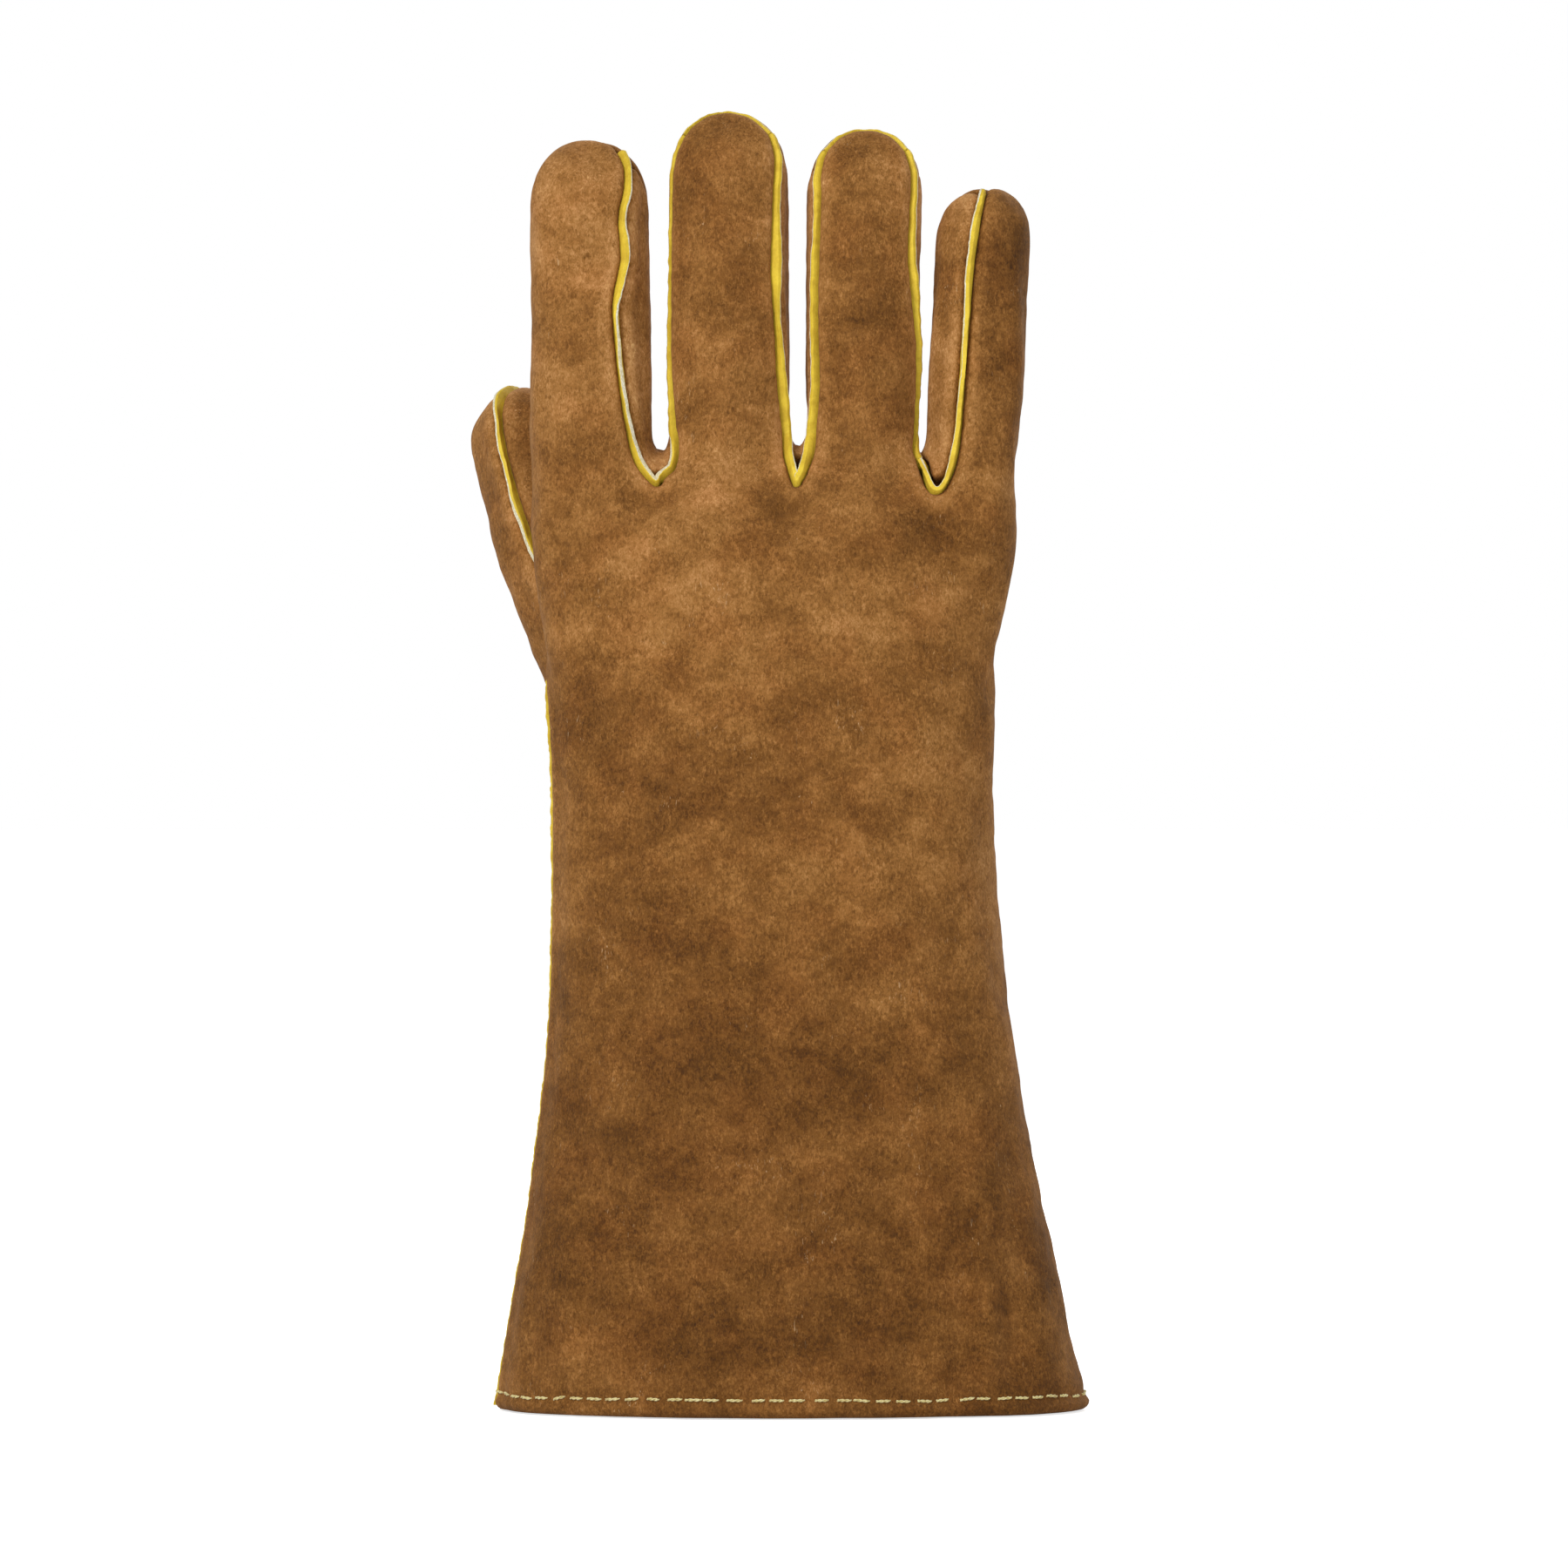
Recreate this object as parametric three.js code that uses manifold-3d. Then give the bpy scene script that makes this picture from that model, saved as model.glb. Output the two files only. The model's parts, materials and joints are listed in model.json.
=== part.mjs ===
// A right-hand gauntlet welding glove in split cowhide, standing on its cuff hem.
// Frame: millimetres, +Z up through the fingers, -Y out of the back of the hand, -X on the thumb side.
// The origin is the centre of the foot of the glove's bounding box. The coordinates below are written from
// the middle of the cuff's rim, and the finished group is moved from the one to the other.
// Every sewn panel, welt and lining is its own closed sheet. The leather of each panel is parted where
// the glove bends (wrist, finger bases, finger middles, thumb), so that each stretch moves as one body.
import * as THREE from "three";
import { mergeVertices } from "three/addons/utils/BufferGeometryUtils.js";
import Module from "manifold-3d";

const wasm = await Module();
wasm.setup();

// ---- Driving dimensions, in millimetres and degrees ----

const ORIGIN = new THREE.Vector3(-1.94, 10.75, 0);

const LEATHER = 1.4;
const LINING = 1.2;
const PLY_GAP = 1.8; // air between the leather and the lining
const WELT = { width: 1.4, sunk: 1.0, rise: 1.2 };
const WELT_FOOT = 0.5; // height of the side welt's lower end
const SEAM_GAP = WELT.width / 2 + 0.5; // from a seam's line to the edge of each panel beside it
const BUTT_GAP = 1.0; // from a seam's line to each panel's edge where there is no welt

// Cuff and hand: [height, thumb-side edge, little-finger-side edge, half depth]
const TRUNK = [
  [0, -82, 82, 42],
  [20, -78, 77.5, 40.5],
  [60, -72, 68, 38],
  [120, -65.7, 60, 34.5],
  [180, -66.7, 56, 31],
  [225, -69, 58.5, 25],
  [262.5, -72, 62.5, 18.5],
];
const TRUNK_SQUARENESS = 2.3; // exponent of the superellipse section
const TRUNK_TOP = 262.5;

const WRIST = { height: 155, flex: 30, extend: 25 };

const HEM = { height: 12, thickness: 2.4 };
const THREAD = { height: 5, width: 0.8, lift: 0.3 };

const FINGER_SQUARENESS = 2.2;
const FINGER_DEPTH_SHARE = 0.86; // half depth over half width
const FINGER_ROOT = 262.5;
const FINGER_CURL = 7; // how far a straight finger's tip leans towards the palm
const FINGER_LENGTH = 93; // the length over which that lean builds up
const DOME_SHARE = 1.25; // height of a fingertip's dome over the finger's half width
const TIP_STOP = 0.2; // panels stop where the dome has shrunk to this share of its width
const FOURCHETTE_STOP = 0.6; // the same for the narrow side walls between the fingers

// Each finger: centre at its root and at its tip, half width at its root and above it, tip height, the
// heights of its two bends, and its seams as [angle at the root, angle at the tip].
// Angles run from the little-finger side (0) over the back of the hand (90) to the thumb side (180).
const FINGERS = {
  index: {
    x: [-54.8, -55.8], half: [18.6, 16.6], tip: 348, bends: [277, 311],
    seams: { backRight: [58, 38], backLeft: [208, 204], palmLeft: [208, 204], palmRight: [-5, 6] },
  },
  middle: {
    x: [-17.2, -17.6], half: [17.5, 16.8], tip: 356, bends: [277, 315],
    seams: { backRight: [28, 14], backLeft: [165, 167], palmLeft: [205, 195], palmRight: [-25, -15] },
  },
  ring: {
    x: [18.8, 20.3], half: [15.6, 15.8], tip: 351, bends: [277, 313],
    seams: { backRight: [33, 15], backLeft: [150, 166], palmLeft: [203, 194], palmRight: [-25, -14] },
  },
  little: {
    x: [49.9, 53.4], half: [12.8, 13.4], tip: 335, bends: [275, 304],
    seams: { backRight: [-28, -20], backLeft: [110, 124], palmLeft: [180, 158], palmRight: [-28, -20] },
  },
};
const ROOT_CLEARANCE = 2.5; // how far below its bend a finger's palm leather starts
const TIP_FLEX = 80;
const FINGER_EXTEND = 5;

// Thumb: its centre line's start (inside the hand), bend point and end (centre of the tip's dome).
const THUMB = {
  line: [new THREE.Vector3(-44, 20, 190), new THREE.Vector3(-65, 38, 228), new THREE.Vector3(-72, 50, 266)],
  half: [17.5, 15.2], frontSeam: 121, farSeam: 301,
  startAt: 16, bendAt: 54, tipFlex: 55, tipExtend: 8,
  root: new THREE.Vector3(-44, 24, 192), spread: [-20, 35], clearance: 1.0,
};

// ---- Materials ----

const suede = (color) => new THREE.MeshStandardMaterial({ color, roughness: 0.95, metalness: 0 });
const MATERIALS = {
  back: suede("#96612f"),
  palm: suede("#8b5a2c"),
  fourchette: suede("#7b5129"),
  welt: new THREE.MeshStandardMaterial({ color: "#d8b93c", roughness: 0.7, metalness: 0 }),
  lining: new THREE.MeshStandardMaterial({ color: "#cfc6b2", roughness: 1, metalness: 0 }),
  thread: new THREE.MeshStandardMaterial({ color: "#d9cf8a", roughness: 0.6, metalness: 0 }),
};

// ---- Tubes: what the sheets lie on ----

const radians = THREE.MathUtils.degToRad;
const lerp = THREE.MathUtils.lerp;
const power = (value, exponent) => Math.sign(value) * Math.abs(value) ** exponent;

// A point of a tube's surface. `frame(s)` gives its section's origin, its two axes and its half sizes.
function onTube(tube, s, angle, inset = 0) {
  const { origin, side, back, a, b } = tube.frame(s);
  const bend = 2 / tube.squareness;
  const c = power(Math.cos(radians(angle)), bend) * (a - inset);
  const d = power(Math.sin(radians(angle)), bend) * (b - inset);
  return origin.clone().addScaledVector(side, c).addScaledVector(back, d);
}

// How far a line of the surface lies on the side that closes when the tube bends.
const reachOf = (tube, s, angle) => onTube(tube, s, angle).sub(tube.frame(s).origin).dot(tube.bendsTowards);

// How many degrees along a section give this distance.
function degreesFor(tube, s, angle, distance) {
  const step = 1;
  const length = onTube(tube, s, angle - step).distanceTo(onTube(tube, s, angle + step)) / (2 * step);
  return distance / length;
}

const ACROSS = new THREE.Vector3(1, 0, 0);
const OUT_OF_BACK = new THREE.Vector3(0, -1, 0);
const PALMWARDS = new THREE.Vector3(0, 1, 0);

function trunkTube() {
  const heights = TRUNK.map((row) => row[0]);
  const values = TRUNK.flatMap(([, left, right, depth]) => [(left + right) / 2, (right - left) / 2, depth]);
  const spline = new THREE.CubicInterpolant(new Float32Array(heights), new Float32Array(values), 3);
  return {
    squareness: TRUNK_SQUARENESS,
    bendsTowards: PALMWARDS,
    frame(z) {
      const [x, a, b] = spline.evaluate(z);
      return { origin: new THREE.Vector3(x, 0, z), side: ACROSS, back: OUT_OF_BACK, a, b };
    },
  };
}

// The share of full width left at a distance beyond the start of a dome of this height.
const dome = (beyond, height) =>
  beyond <= 0 ? 1 : Math.max(0, 1 - (beyond / height) ** FINGER_SQUARENESS) ** (1 / FINGER_SQUARENESS);

function fingerTube({ x, half, tip }) {
  const height = half[1] * DOME_SHARE;
  return {
    squareness: FINGER_SQUARENESS,
    bendsTowards: PALMWARDS,
    frame(z) {
      const up = (z - FINGER_ROOT) / (tip - FINGER_ROOT);
      const lean = FINGER_CURL * ((z - FINGER_ROOT) / FINGER_LENGTH) ** 2;
      const width = lerp(half[0], half[1], Math.min(1, up / 0.4));
      const a = width * dome(z - (tip - height), height);
      const origin = new THREE.Vector3(lerp(x[0], x[1], up), lean, z);
      return { origin, side: ACROSS, back: OUT_OF_BACK, a, b: a * FINGER_DEPTH_SHARE };
    },
  };
}

function thumbTube() {
  const curve = new THREE.QuadraticBezierCurve3(...THUMB.line);
  const length = curve.getLength();
  const height = THUMB.half[1];
  return {
    squareness: FINGER_SQUARENESS,
    bendsTowards: ACROSS,
    length,
    end: length + height,
    frame(s) {
      const along = Math.min(1, Math.max(0, s / length));
      const up = curve.getTangentAt(along);
      const origin = curve.getPointAt(along).addScaledVector(up, s - along * length);
      const side = ACROSS.clone().addScaledVector(up, -up.x).normalize();
      const back = side.clone().cross(up).normalize();
      const a = lerp(THUMB.half[0], THUMB.half[1], along) * dome(s - length, height);
      return { origin, side, back, a, b: a };
    },
  };
}

// The distance along a fingertip's axis at which its dome has shrunk to this share.
const stopOf = (tip, height, share) =>
  tip - height + height * (1 - share ** FINGER_SQUARENESS) ** (1 / FINGER_SQUARENESS);

// ---- Sheets and strips ----

function closedGeometry(points, faces) {
  const geometry = new THREE.BufferGeometry();
  const coordinates = points.flatMap((p) => [p.x, p.y, p.z]);
  geometry.setAttribute("position", new THREE.Float32BufferAttribute(coordinates, 3));
  const volume = faces.reduce((sum, [i, j, k]) => sum + points[i].dot(points[j].clone().cross(points[k])), 0);
  geometry.setIndex((volume < 0 ? faces.map(([i, j, k]) => [i, k, j]) : faces).flat());
  return geometry;
}

// A thin closed sheet on a tube, from side angle `from(s)` to `to(s)` and from `bottom(reach)` to
// `top(reach)`, with the reach of each line of the sheet. Its outer face lies `inset` inside the tube.
// With `ring` it runs the whole way round.
function sheet(tube, { from, to, bottom, top, inset = 0, thickness = LEATHER, columns, rows, ring = false }) {
  const lines = ring ? columns : columns + 1;
  const middle = (bottom(0) + top(0)) / 2;
  const start = ring ? () => 0 : from;
  const end = ring ? () => 360 : to;
  const points = [];
  for (const depth of [inset, inset + thickness]) {
    for (let i = 0; i < lines; i += 1) {
      const angleAt = (s) => lerp(start(s), end(s), i / columns);
      const reach = reachOf(tube, middle, angleAt(middle));
      for (let j = 0; j <= rows; j += 1) {
        const s = lerp(bottom(reach), top(reach), j / rows);
        points.push(onTube(tube, s, angleAt(s), depth));
      }
    }
  }
  const layer = lines * (rows + 1);
  const at = (side, i, j) => side * layer + (i % lines) * (rows + 1) + j;
  const faces = [];
  const quad = (a, b, c, d) => faces.push([a, b, c], [a, c, d]);
  for (let i = 0; i < columns; i += 1) {
    for (let j = 0; j < rows; j += 1) {
      quad(at(0, i, j), at(0, i + 1, j), at(0, i + 1, j + 1), at(0, i, j + 1));
      quad(at(1, i, j), at(1, i, j + 1), at(1, i + 1, j + 1), at(1, i + 1, j));
    }
    quad(at(0, i, 0), at(1, i, 0), at(1, i + 1, 0), at(0, i + 1, 0));
    quad(at(0, i, rows), at(0, i + 1, rows), at(1, i + 1, rows), at(1, i, rows));
  }
  if (!ring) {
    for (let j = 0; j < rows; j += 1) {
      quad(at(0, 0, j), at(0, 0, j + 1), at(1, 0, j + 1), at(1, 0, j));
      quad(at(0, columns, j), at(1, columns, j), at(1, columns, j + 1), at(0, columns, j + 1));
    }
  }
  return closedGeometry(points, faces);
}

// A welt: a strip of rectangular section along a path of { point, normal } on the surface.
function strip(path) {
  const half = WELT.width / 2;
  const corners = [[-half, -WELT.sunk], [half, -WELT.sunk], [half, WELT.rise], [-half, WELT.rise]];
  const points = [];
  path.forEach(({ point, normal }, i) => {
    const before = path[Math.max(0, i - 1)].point;
    const after = path[Math.min(path.length - 1, i + 1)].point;
    const sideways = after.clone().sub(before).cross(normal).normalize();
    for (const [across, out] of corners) {
      points.push(point.clone().addScaledVector(sideways, across).addScaledVector(normal, out));
    }
  });
  const last = 4 * (path.length - 1);
  const faces = [[0, 1, 2], [0, 2, 3], [last, last + 2, last + 1], [last, last + 3, last + 2]];
  for (let i = 0; i < last; i += 4) {
    for (let k = 0; k < 4; k += 1) {
      const n = (k + 1) % 4;
      faces.push([i + k, i + 4 + k, i + 4 + n], [i + k, i + 4 + n, i + n]);
    }
  }
  return closedGeometry(points, faces);
}

// The path of a seam on a tube, at `angle(s)`, from one distance to another.
function seamPath(tube, angle, from, to, steps) {
  return Array.from({ length: steps + 1 }, (_, i) => {
    const s = lerp(from, to, i / steps);
    const point = onTube(tube, s, angle(s));
    return { point, normal: onTube(tube, s, angle(s), -1).sub(point).normalize() };
  });
}

// ---- Booleans ----

function solidOf(geometry) {
  const bare = new THREE.BufferGeometry().setAttribute("position", geometry.getAttribute("position"));
  bare.setIndex(geometry.index);
  const merged = mergeVertices(bare, 1e-4);
  const vertProperties = new Float32Array(merged.attributes.position.array);
  const triVerts = new Uint32Array(merged.index.array);
  return new wasm.Manifold(new wasm.Mesh({ numProp: 3, vertProperties, triVerts }));
}

function geometryOf(solid) {
  const mesh = solid.getMesh();
  const geometry = new THREE.BufferGeometry();
  geometry.setAttribute("position", new THREE.BufferAttribute(new Float32Array(mesh.vertProperties), 3));
  geometry.setIndex(new THREE.BufferAttribute(new Uint32Array(mesh.triVerts), 1));
  return geometry;
}

// The largest body of a cut solid: a cut can leave slivers at a panel's corner.
const mainBody = (solid) => solid.decompose().sort((a, b) => b.volume() - a.volume())[0];

const cut = (geometry, ...tools) =>
  geometryOf(mainBody(tools.reduce((solid, tool) => solid.subtract(tool), solidOf(geometry))));

// The inside of a tube as one solid block, grown by `grow`.
function block(tube, bottom, top, grow, columns, rows) {
  const points = [];
  for (let j = 0; j <= rows; j += 1) {
    for (let i = 0; i < columns; i += 1) {
      points.push(onTube(tube, lerp(bottom, top, j / rows), (360 * i) / columns, -grow));
    }
  }
  const faces = [];
  for (let i = 0; i < columns; i += 1) {
    const n = (i + 1) % columns;
    for (let j = 0; j < rows; j += 1) {
      const low = j * columns;
      faces.push([low + i, low + n, low + columns + n], [low + i, low + columns + n, low + columns + i]);
    }
    if (i > 0 && i < columns - 1) {
      const roof = rows * columns;
      faces.push([0, i + 1, i], [roof, roof + i, roof + i + 1]);
    }
  }
  return solidOf(closedGeometry(points, faces));
}

// ---- The model ----

const glove = new THREE.Group();

function add(name, geometry, material) {
  const mesh = new THREE.Mesh(geometry, material);
  mesh.name = name;
  glove.add(mesh);
}

const trunk = trunkTube();

// A seam of the cuff and hand: `low` is its angle up to the height `turn[0]`, and from there it eases to
// `high` at the height `turn[1]`.
const trunkSeam = (low, high, turn) => (z) => lerp(low, high, THREE.MathUtils.smoothstep(z, ...turn));

// The thumb-side seam climbs the cuff on its edge and turns palmwards behind the thumb; the other seam
// runs on the palm side of the little-finger edge.
const thumbSideSeam = trunkSeam(178, FINGERS.index.seams.backLeft[0], [195, 240]);
const littleSideSeam = trunkSeam(-18, FINGERS.little.seams.backRight[0], [195, 255]);

const gapOn = (tube, seam, gap) => ({
  before: (s) => seam(s) - degreesFor(tube, s, seam(s), gap),
  after: (s) => seam(s) + degreesFor(tube, s, seam(s), gap),
});

// The ends of the sheets below and above a hinge at this height: a notch that the bend closes.
const below = (height, flex, extend) => (reach) => {
  const closing = Math.max(reach * Math.tan(radians(flex / 2)), -reach * Math.tan(radians(extend / 2)));
  return height - BUTT_GAP - closing;
};
const above = (height, flex, extend) => (reach) => 2 * height - below(height, flex, extend)(reach);

function addTrunkPart(part, bottom, top, rows, extra = {}) {
  const thumbEdge = gapOn(trunk, thumbSideSeam, SEAM_GAP);
  const littleEdge = gapOn(trunk, littleSideSeam, BUTT_GAP);
  const ends = { bottom, top, rows };
  const back = sheet(trunk, { ...ends, from: littleEdge.after, to: thumbEdge.before, columns: 20 });
  const palmEnd = (s) => littleEdge.before(s) + 360;
  const palm = sheet(trunk, { ...ends, from: thumbEdge.after, to: palmEnd, columns: 16 });
  const lining = sheet(trunk, {
    bottom: extra.liningBottom ?? bottom, top, rows, columns: 32, ring: true,
    inset: LEATHER + PLY_GAP, thickness: LINING,
  });
  const cutPalm = extra.palmCut ? cut(palm, extra.palmCut) : palm;
  const cutLining = extra.palmCut ? cut(lining, extra.palmCut) : lining;
  add(`${part}_back_leather`, back, MATERIALS.back);
  add(`${part}_palm_leather`, cutPalm, MATERIALS.palm);
  add(`${part}_lining`, cutLining, MATERIALS.lining);
  const welt = seamPath(trunk, thumbSideSeam, Math.max(WELT_FOOT, bottom(0)), top(0), rows);
  add(`${part}_thumb_side_welt`, strip(welt), MATERIALS.welt);
}

function addCuff() {
  const top = below(WRIST.height, WRIST.flex, WRIST.extend);
  addTrunkPart("cuff", () => 0, top, 6, { liningBottom: () => HEM.height + PLY_GAP });
  const hem = sheet(trunk, {
    bottom: () => 0, top: () => HEM.height, rows: 1, columns: 32, ring: true,
    inset: LEATHER + PLY_GAP, thickness: HEM.thickness,
  });
  add("cuff_hem_fold", hem, MATERIALS.palm);
  const thread = sheet(trunk, {
    bottom: () => THREAD.height, top: () => THREAD.height + THREAD.width, rows: 1, columns: 48, ring: true,
    inset: -(WELT.rise + THREAD.lift + THREAD.width), thickness: THREAD.width,
  });
  add("cuff_hem_thread", thread, MATERIALS.thread);
}

const thumb = thumbTube();

function addHand() {
  const bottom = above(WRIST.height, WRIST.flex, WRIST.extend);
  const thumbHole = block(thumb, 0, thumb.length * 0.75, -LEATHER, 14, 5);
  addTrunkPart("hand", bottom, () => TRUNK_TOP - BUTT_GAP, 5, { palmCut: thumbHole });
}

function addFinger(name, finger) {
  const tube = fingerTube(finger);
  const [baseBend, tipBend] = finger.bends;
  const stop = stopOf(finger.tip, finger.half[1] * DOME_SHARE, TIP_STOP);
  const fourchetteStop = stopOf(finger.tip, finger.half[1] * DOME_SHARE, FOURCHETTE_STOP);
  const seam = (key) => (s) =>
    lerp(...finger.seams[key], THREE.MathUtils.clamp((s - baseBend) / (stop - baseBend), 0, 1));
  const edge = Object.fromEntries(
    ["backRight", "backLeft", "palmLeft", "palmRight"].map((key) => [key, gapOn(tube, seam(key), SEAM_GAP)]),
  );
  const hasRightFourchette = finger.seams.backRight[0] !== finger.seams.palmRight[0];
  const hasLeftFourchette = finger.seams.backLeft[0] !== finger.seams.palmLeft[0];

  // The palm side of the base starts higher, so that the bent finger lies on the hand and not in it.
  const depth = finger.half[0] * FINGER_DEPTH_SHARE;
  const lowest = TRUNK_TOP + BUTT_GAP;
  const baseBottom = (reach) => lerp(lowest, baseBend - ROOT_CLEARANCE, (reach / depth + 1) / 2);
  const parts = {
    base: { bottom: baseBottom, top: below(tipBend, TIP_FLEX, FINGER_EXTEND), rows: 3 },
    tip: { bottom: above(tipBend, TIP_FLEX, FINGER_EXTEND), top: () => stop, rows: 4 },
  };
  for (const [part, ends] of Object.entries(parts)) {
    const top = part === "tip" ? () => fourchetteStop : ends.top;
    const addPanel = (panel, from, to, columns, material, changes = {}) =>
      add(`${name}_${part}_${panel}`, sheet(tube, { ...ends, ...changes, from, to, columns }), material);
    const addFourchette = (label, from, to) => addPanel(label, from, to, 2, MATERIALS.fourchette, { top });
    const palmEnd = (s) => edge.palmRight.before(s) + 360;
    addPanel("back_leather", edge.backRight.after, edge.backLeft.before, 7, MATERIALS.back);
    addPanel("palm_leather", edge.palmLeft.after, palmEnd, 6, MATERIALS.palm);
    if (hasRightFourchette) addFourchette("right_fourchette", edge.palmRight.after, edge.backRight.before);
    if (hasLeftFourchette) addFourchette("left_fourchette", edge.backLeft.after, edge.palmLeft.before);
  }
  addFingerWelts(name, tube, parts, seam, { hasLeftFourchette, hasRightFourchette, tip: finger.tip });
  const lining = sheet(tube, {
    ...parts.base, rows: 2, columns: 14, ring: true, inset: LEATHER + PLY_GAP, thickness: LINING,
  });
  add(`${name}_lining`, lining, MATERIALS.lining);
}

// A finger's welts lie along the back panel's edges, on each side that has a fourchette.
function addFingerWelts(name, tube, parts, seam, { hasLeftFourchette, hasRightFourchette, tip }) {
  const run = (key, ends) => {
    const reach = reachOf(tube, ends.bottom(0), seam(key)(ends.bottom(0)));
    return seamPath(tube, seam(key), ends.bottom(reach), ends.top(reach), ends.rows);
  };
  const addWelt = (label, path) => add(`${name}_${label}`, strip(path), MATERIALS.welt);
  if (hasRightFourchette) addWelt("base_right_welt", run("backRight", parts.base));
  if (hasLeftFourchette) addWelt("base_left_welt", run("backLeft", parts.base));
  if (hasLeftFourchette && hasRightFourchette) {
    // One welt goes up the left seam, over the fingertip and down the right seam.
    const top = { point: tube.frame(tip).origin, normal: new THREE.Vector3(0, 0, 1) };
    const up = run("backLeft", parts.tip);
    const down = run("backRight", parts.tip).reverse();
    addWelt("tip_welt", [...up, top, ...down]);
  } else {
    addWelt("tip_welt", run(hasRightFourchette ? "backRight" : "backLeft", parts.tip));
  }
}

// The hand as the thumb meets it while it swings: the hand's block turned back by each swing angle.
function handSeenByThumb() {
  const hand = block(trunk, WRIST.height, TRUNK_TOP, THUMB.clearance, 24, 6);
  const swings = [];
  const axis = new THREE.Vector3(0, -1, 0);
  const steps = 8;
  for (let i = 0; i <= steps; i += 1) {
    const swing = radians(lerp(THUMB.spread[0] - 1, THUMB.spread[1] + 1, i / steps));
    const move = new THREE.Matrix4().makeTranslation(THUMB.root)
      .multiply(new THREE.Matrix4().makeRotationAxis(axis, -swing))
      .multiply(new THREE.Matrix4().makeTranslation(THUMB.root.clone().negate()));
    swings.push(hand.transform(move.elements));
  }
  return swings;
}

function addThumb() {
  const obstacles = handSeenByThumb();
  const stop = stopOf(thumb.end, THUMB.half[1], TIP_STOP);
  const front = gapOn(thumb, () => THUMB.frontSeam, SEAM_GAP);
  const far = gapOn(thumb, () => THUMB.farSeam, SEAM_GAP);
  const innerStart = (s) => far.after(s) - 360;
  const pieces = [
    { label: "outer_leather", from: front.after, to: far.before, material: MATERIALS.back },
    { label: "inner_leather", from: innerStart, to: front.before, material: MATERIALS.fourchette },
  ];
  const parts = {
    base: { bottom: () => THUMB.startAt, top: below(THUMB.bendAt, THUMB.tipFlex, THUMB.tipExtend), rows: 5 },
    tip: { bottom: above(THUMB.bendAt, THUMB.tipFlex, THUMB.tipExtend), top: () => stop, rows: 5 },
  };
  for (const [part, ends] of Object.entries(parts)) {
    const clear = (geometry) => (part === "base" ? cut(geometry, ...obstacles) : geometry);
    for (const { label, from, to, material } of pieces) {
      add(`thumb_${part}_${label}`, clear(sheet(thumb, { ...ends, from, to, columns: 7 })), material);
    }
    const reach = reachOf(thumb, THUMB.bendAt, THUMB.frontSeam);
    const welt = seamPath(thumb, () => THUMB.frontSeam, ends.bottom(reach), ends.top(reach), ends.rows);
    add(`thumb_${part}_welt`, clear(strip(welt)), MATERIALS.welt);
  }
  const lining = sheet(thumb, {
    ...parts.base, rows: 3, columns: 14, ring: true, inset: LEATHER + PLY_GAP, thickness: LINING,
  });
  add("thumb_lining", cut(lining, ...obstacles), MATERIALS.lining);
}

addCuff();
addHand();
Object.entries(FINGERS).forEach(([name, finger]) => addFinger(name, finger));
addThumb();

glove.position.copy(ORIGIN).negate();

export default glove;
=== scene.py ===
"""A leather welding glove: sewn panels, welts, linings and stitches around its CAD frame.

Lengths are in millimetres until a mesh is made. The glove's skin is one implicit surface: a cuff
and hand, four fingers and a thumb, each fitted to the CAD nodes and melted together. Seam lines are
drawn on that skin, the skin is cut beside them, and every panel's edge is rolled inwards to meet
its welt.
"""
import json
import math

import bpy
import numpy as np
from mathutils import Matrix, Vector, kdtree


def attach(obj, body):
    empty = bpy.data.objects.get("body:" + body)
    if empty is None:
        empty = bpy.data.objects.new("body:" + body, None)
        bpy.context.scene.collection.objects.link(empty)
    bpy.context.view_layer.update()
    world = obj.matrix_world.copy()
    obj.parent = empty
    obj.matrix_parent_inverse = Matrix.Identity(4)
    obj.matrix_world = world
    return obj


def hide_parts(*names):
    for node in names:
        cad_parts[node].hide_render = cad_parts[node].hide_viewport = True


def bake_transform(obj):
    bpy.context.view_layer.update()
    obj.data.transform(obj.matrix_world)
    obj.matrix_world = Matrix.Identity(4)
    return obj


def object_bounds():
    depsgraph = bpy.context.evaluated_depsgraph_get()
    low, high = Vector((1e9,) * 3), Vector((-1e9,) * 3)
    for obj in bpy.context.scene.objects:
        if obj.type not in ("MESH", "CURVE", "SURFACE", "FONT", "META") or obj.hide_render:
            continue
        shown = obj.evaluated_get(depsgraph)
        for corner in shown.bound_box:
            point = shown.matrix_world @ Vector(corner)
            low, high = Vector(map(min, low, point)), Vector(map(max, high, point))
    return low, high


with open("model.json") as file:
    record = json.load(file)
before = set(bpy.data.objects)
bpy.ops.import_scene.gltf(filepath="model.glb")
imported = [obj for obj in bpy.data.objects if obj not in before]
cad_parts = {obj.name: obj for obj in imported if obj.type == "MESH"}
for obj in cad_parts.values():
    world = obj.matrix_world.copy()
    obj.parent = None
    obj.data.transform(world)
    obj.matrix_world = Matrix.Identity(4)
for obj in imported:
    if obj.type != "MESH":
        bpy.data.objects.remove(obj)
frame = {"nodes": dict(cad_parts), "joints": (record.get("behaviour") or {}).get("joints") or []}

CAD_BOX = [list(corner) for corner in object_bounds()]
MM = 0.001
TAU = 2 * math.pi

# ---- Driving dimensions, in millimetres and degrees ----

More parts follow.
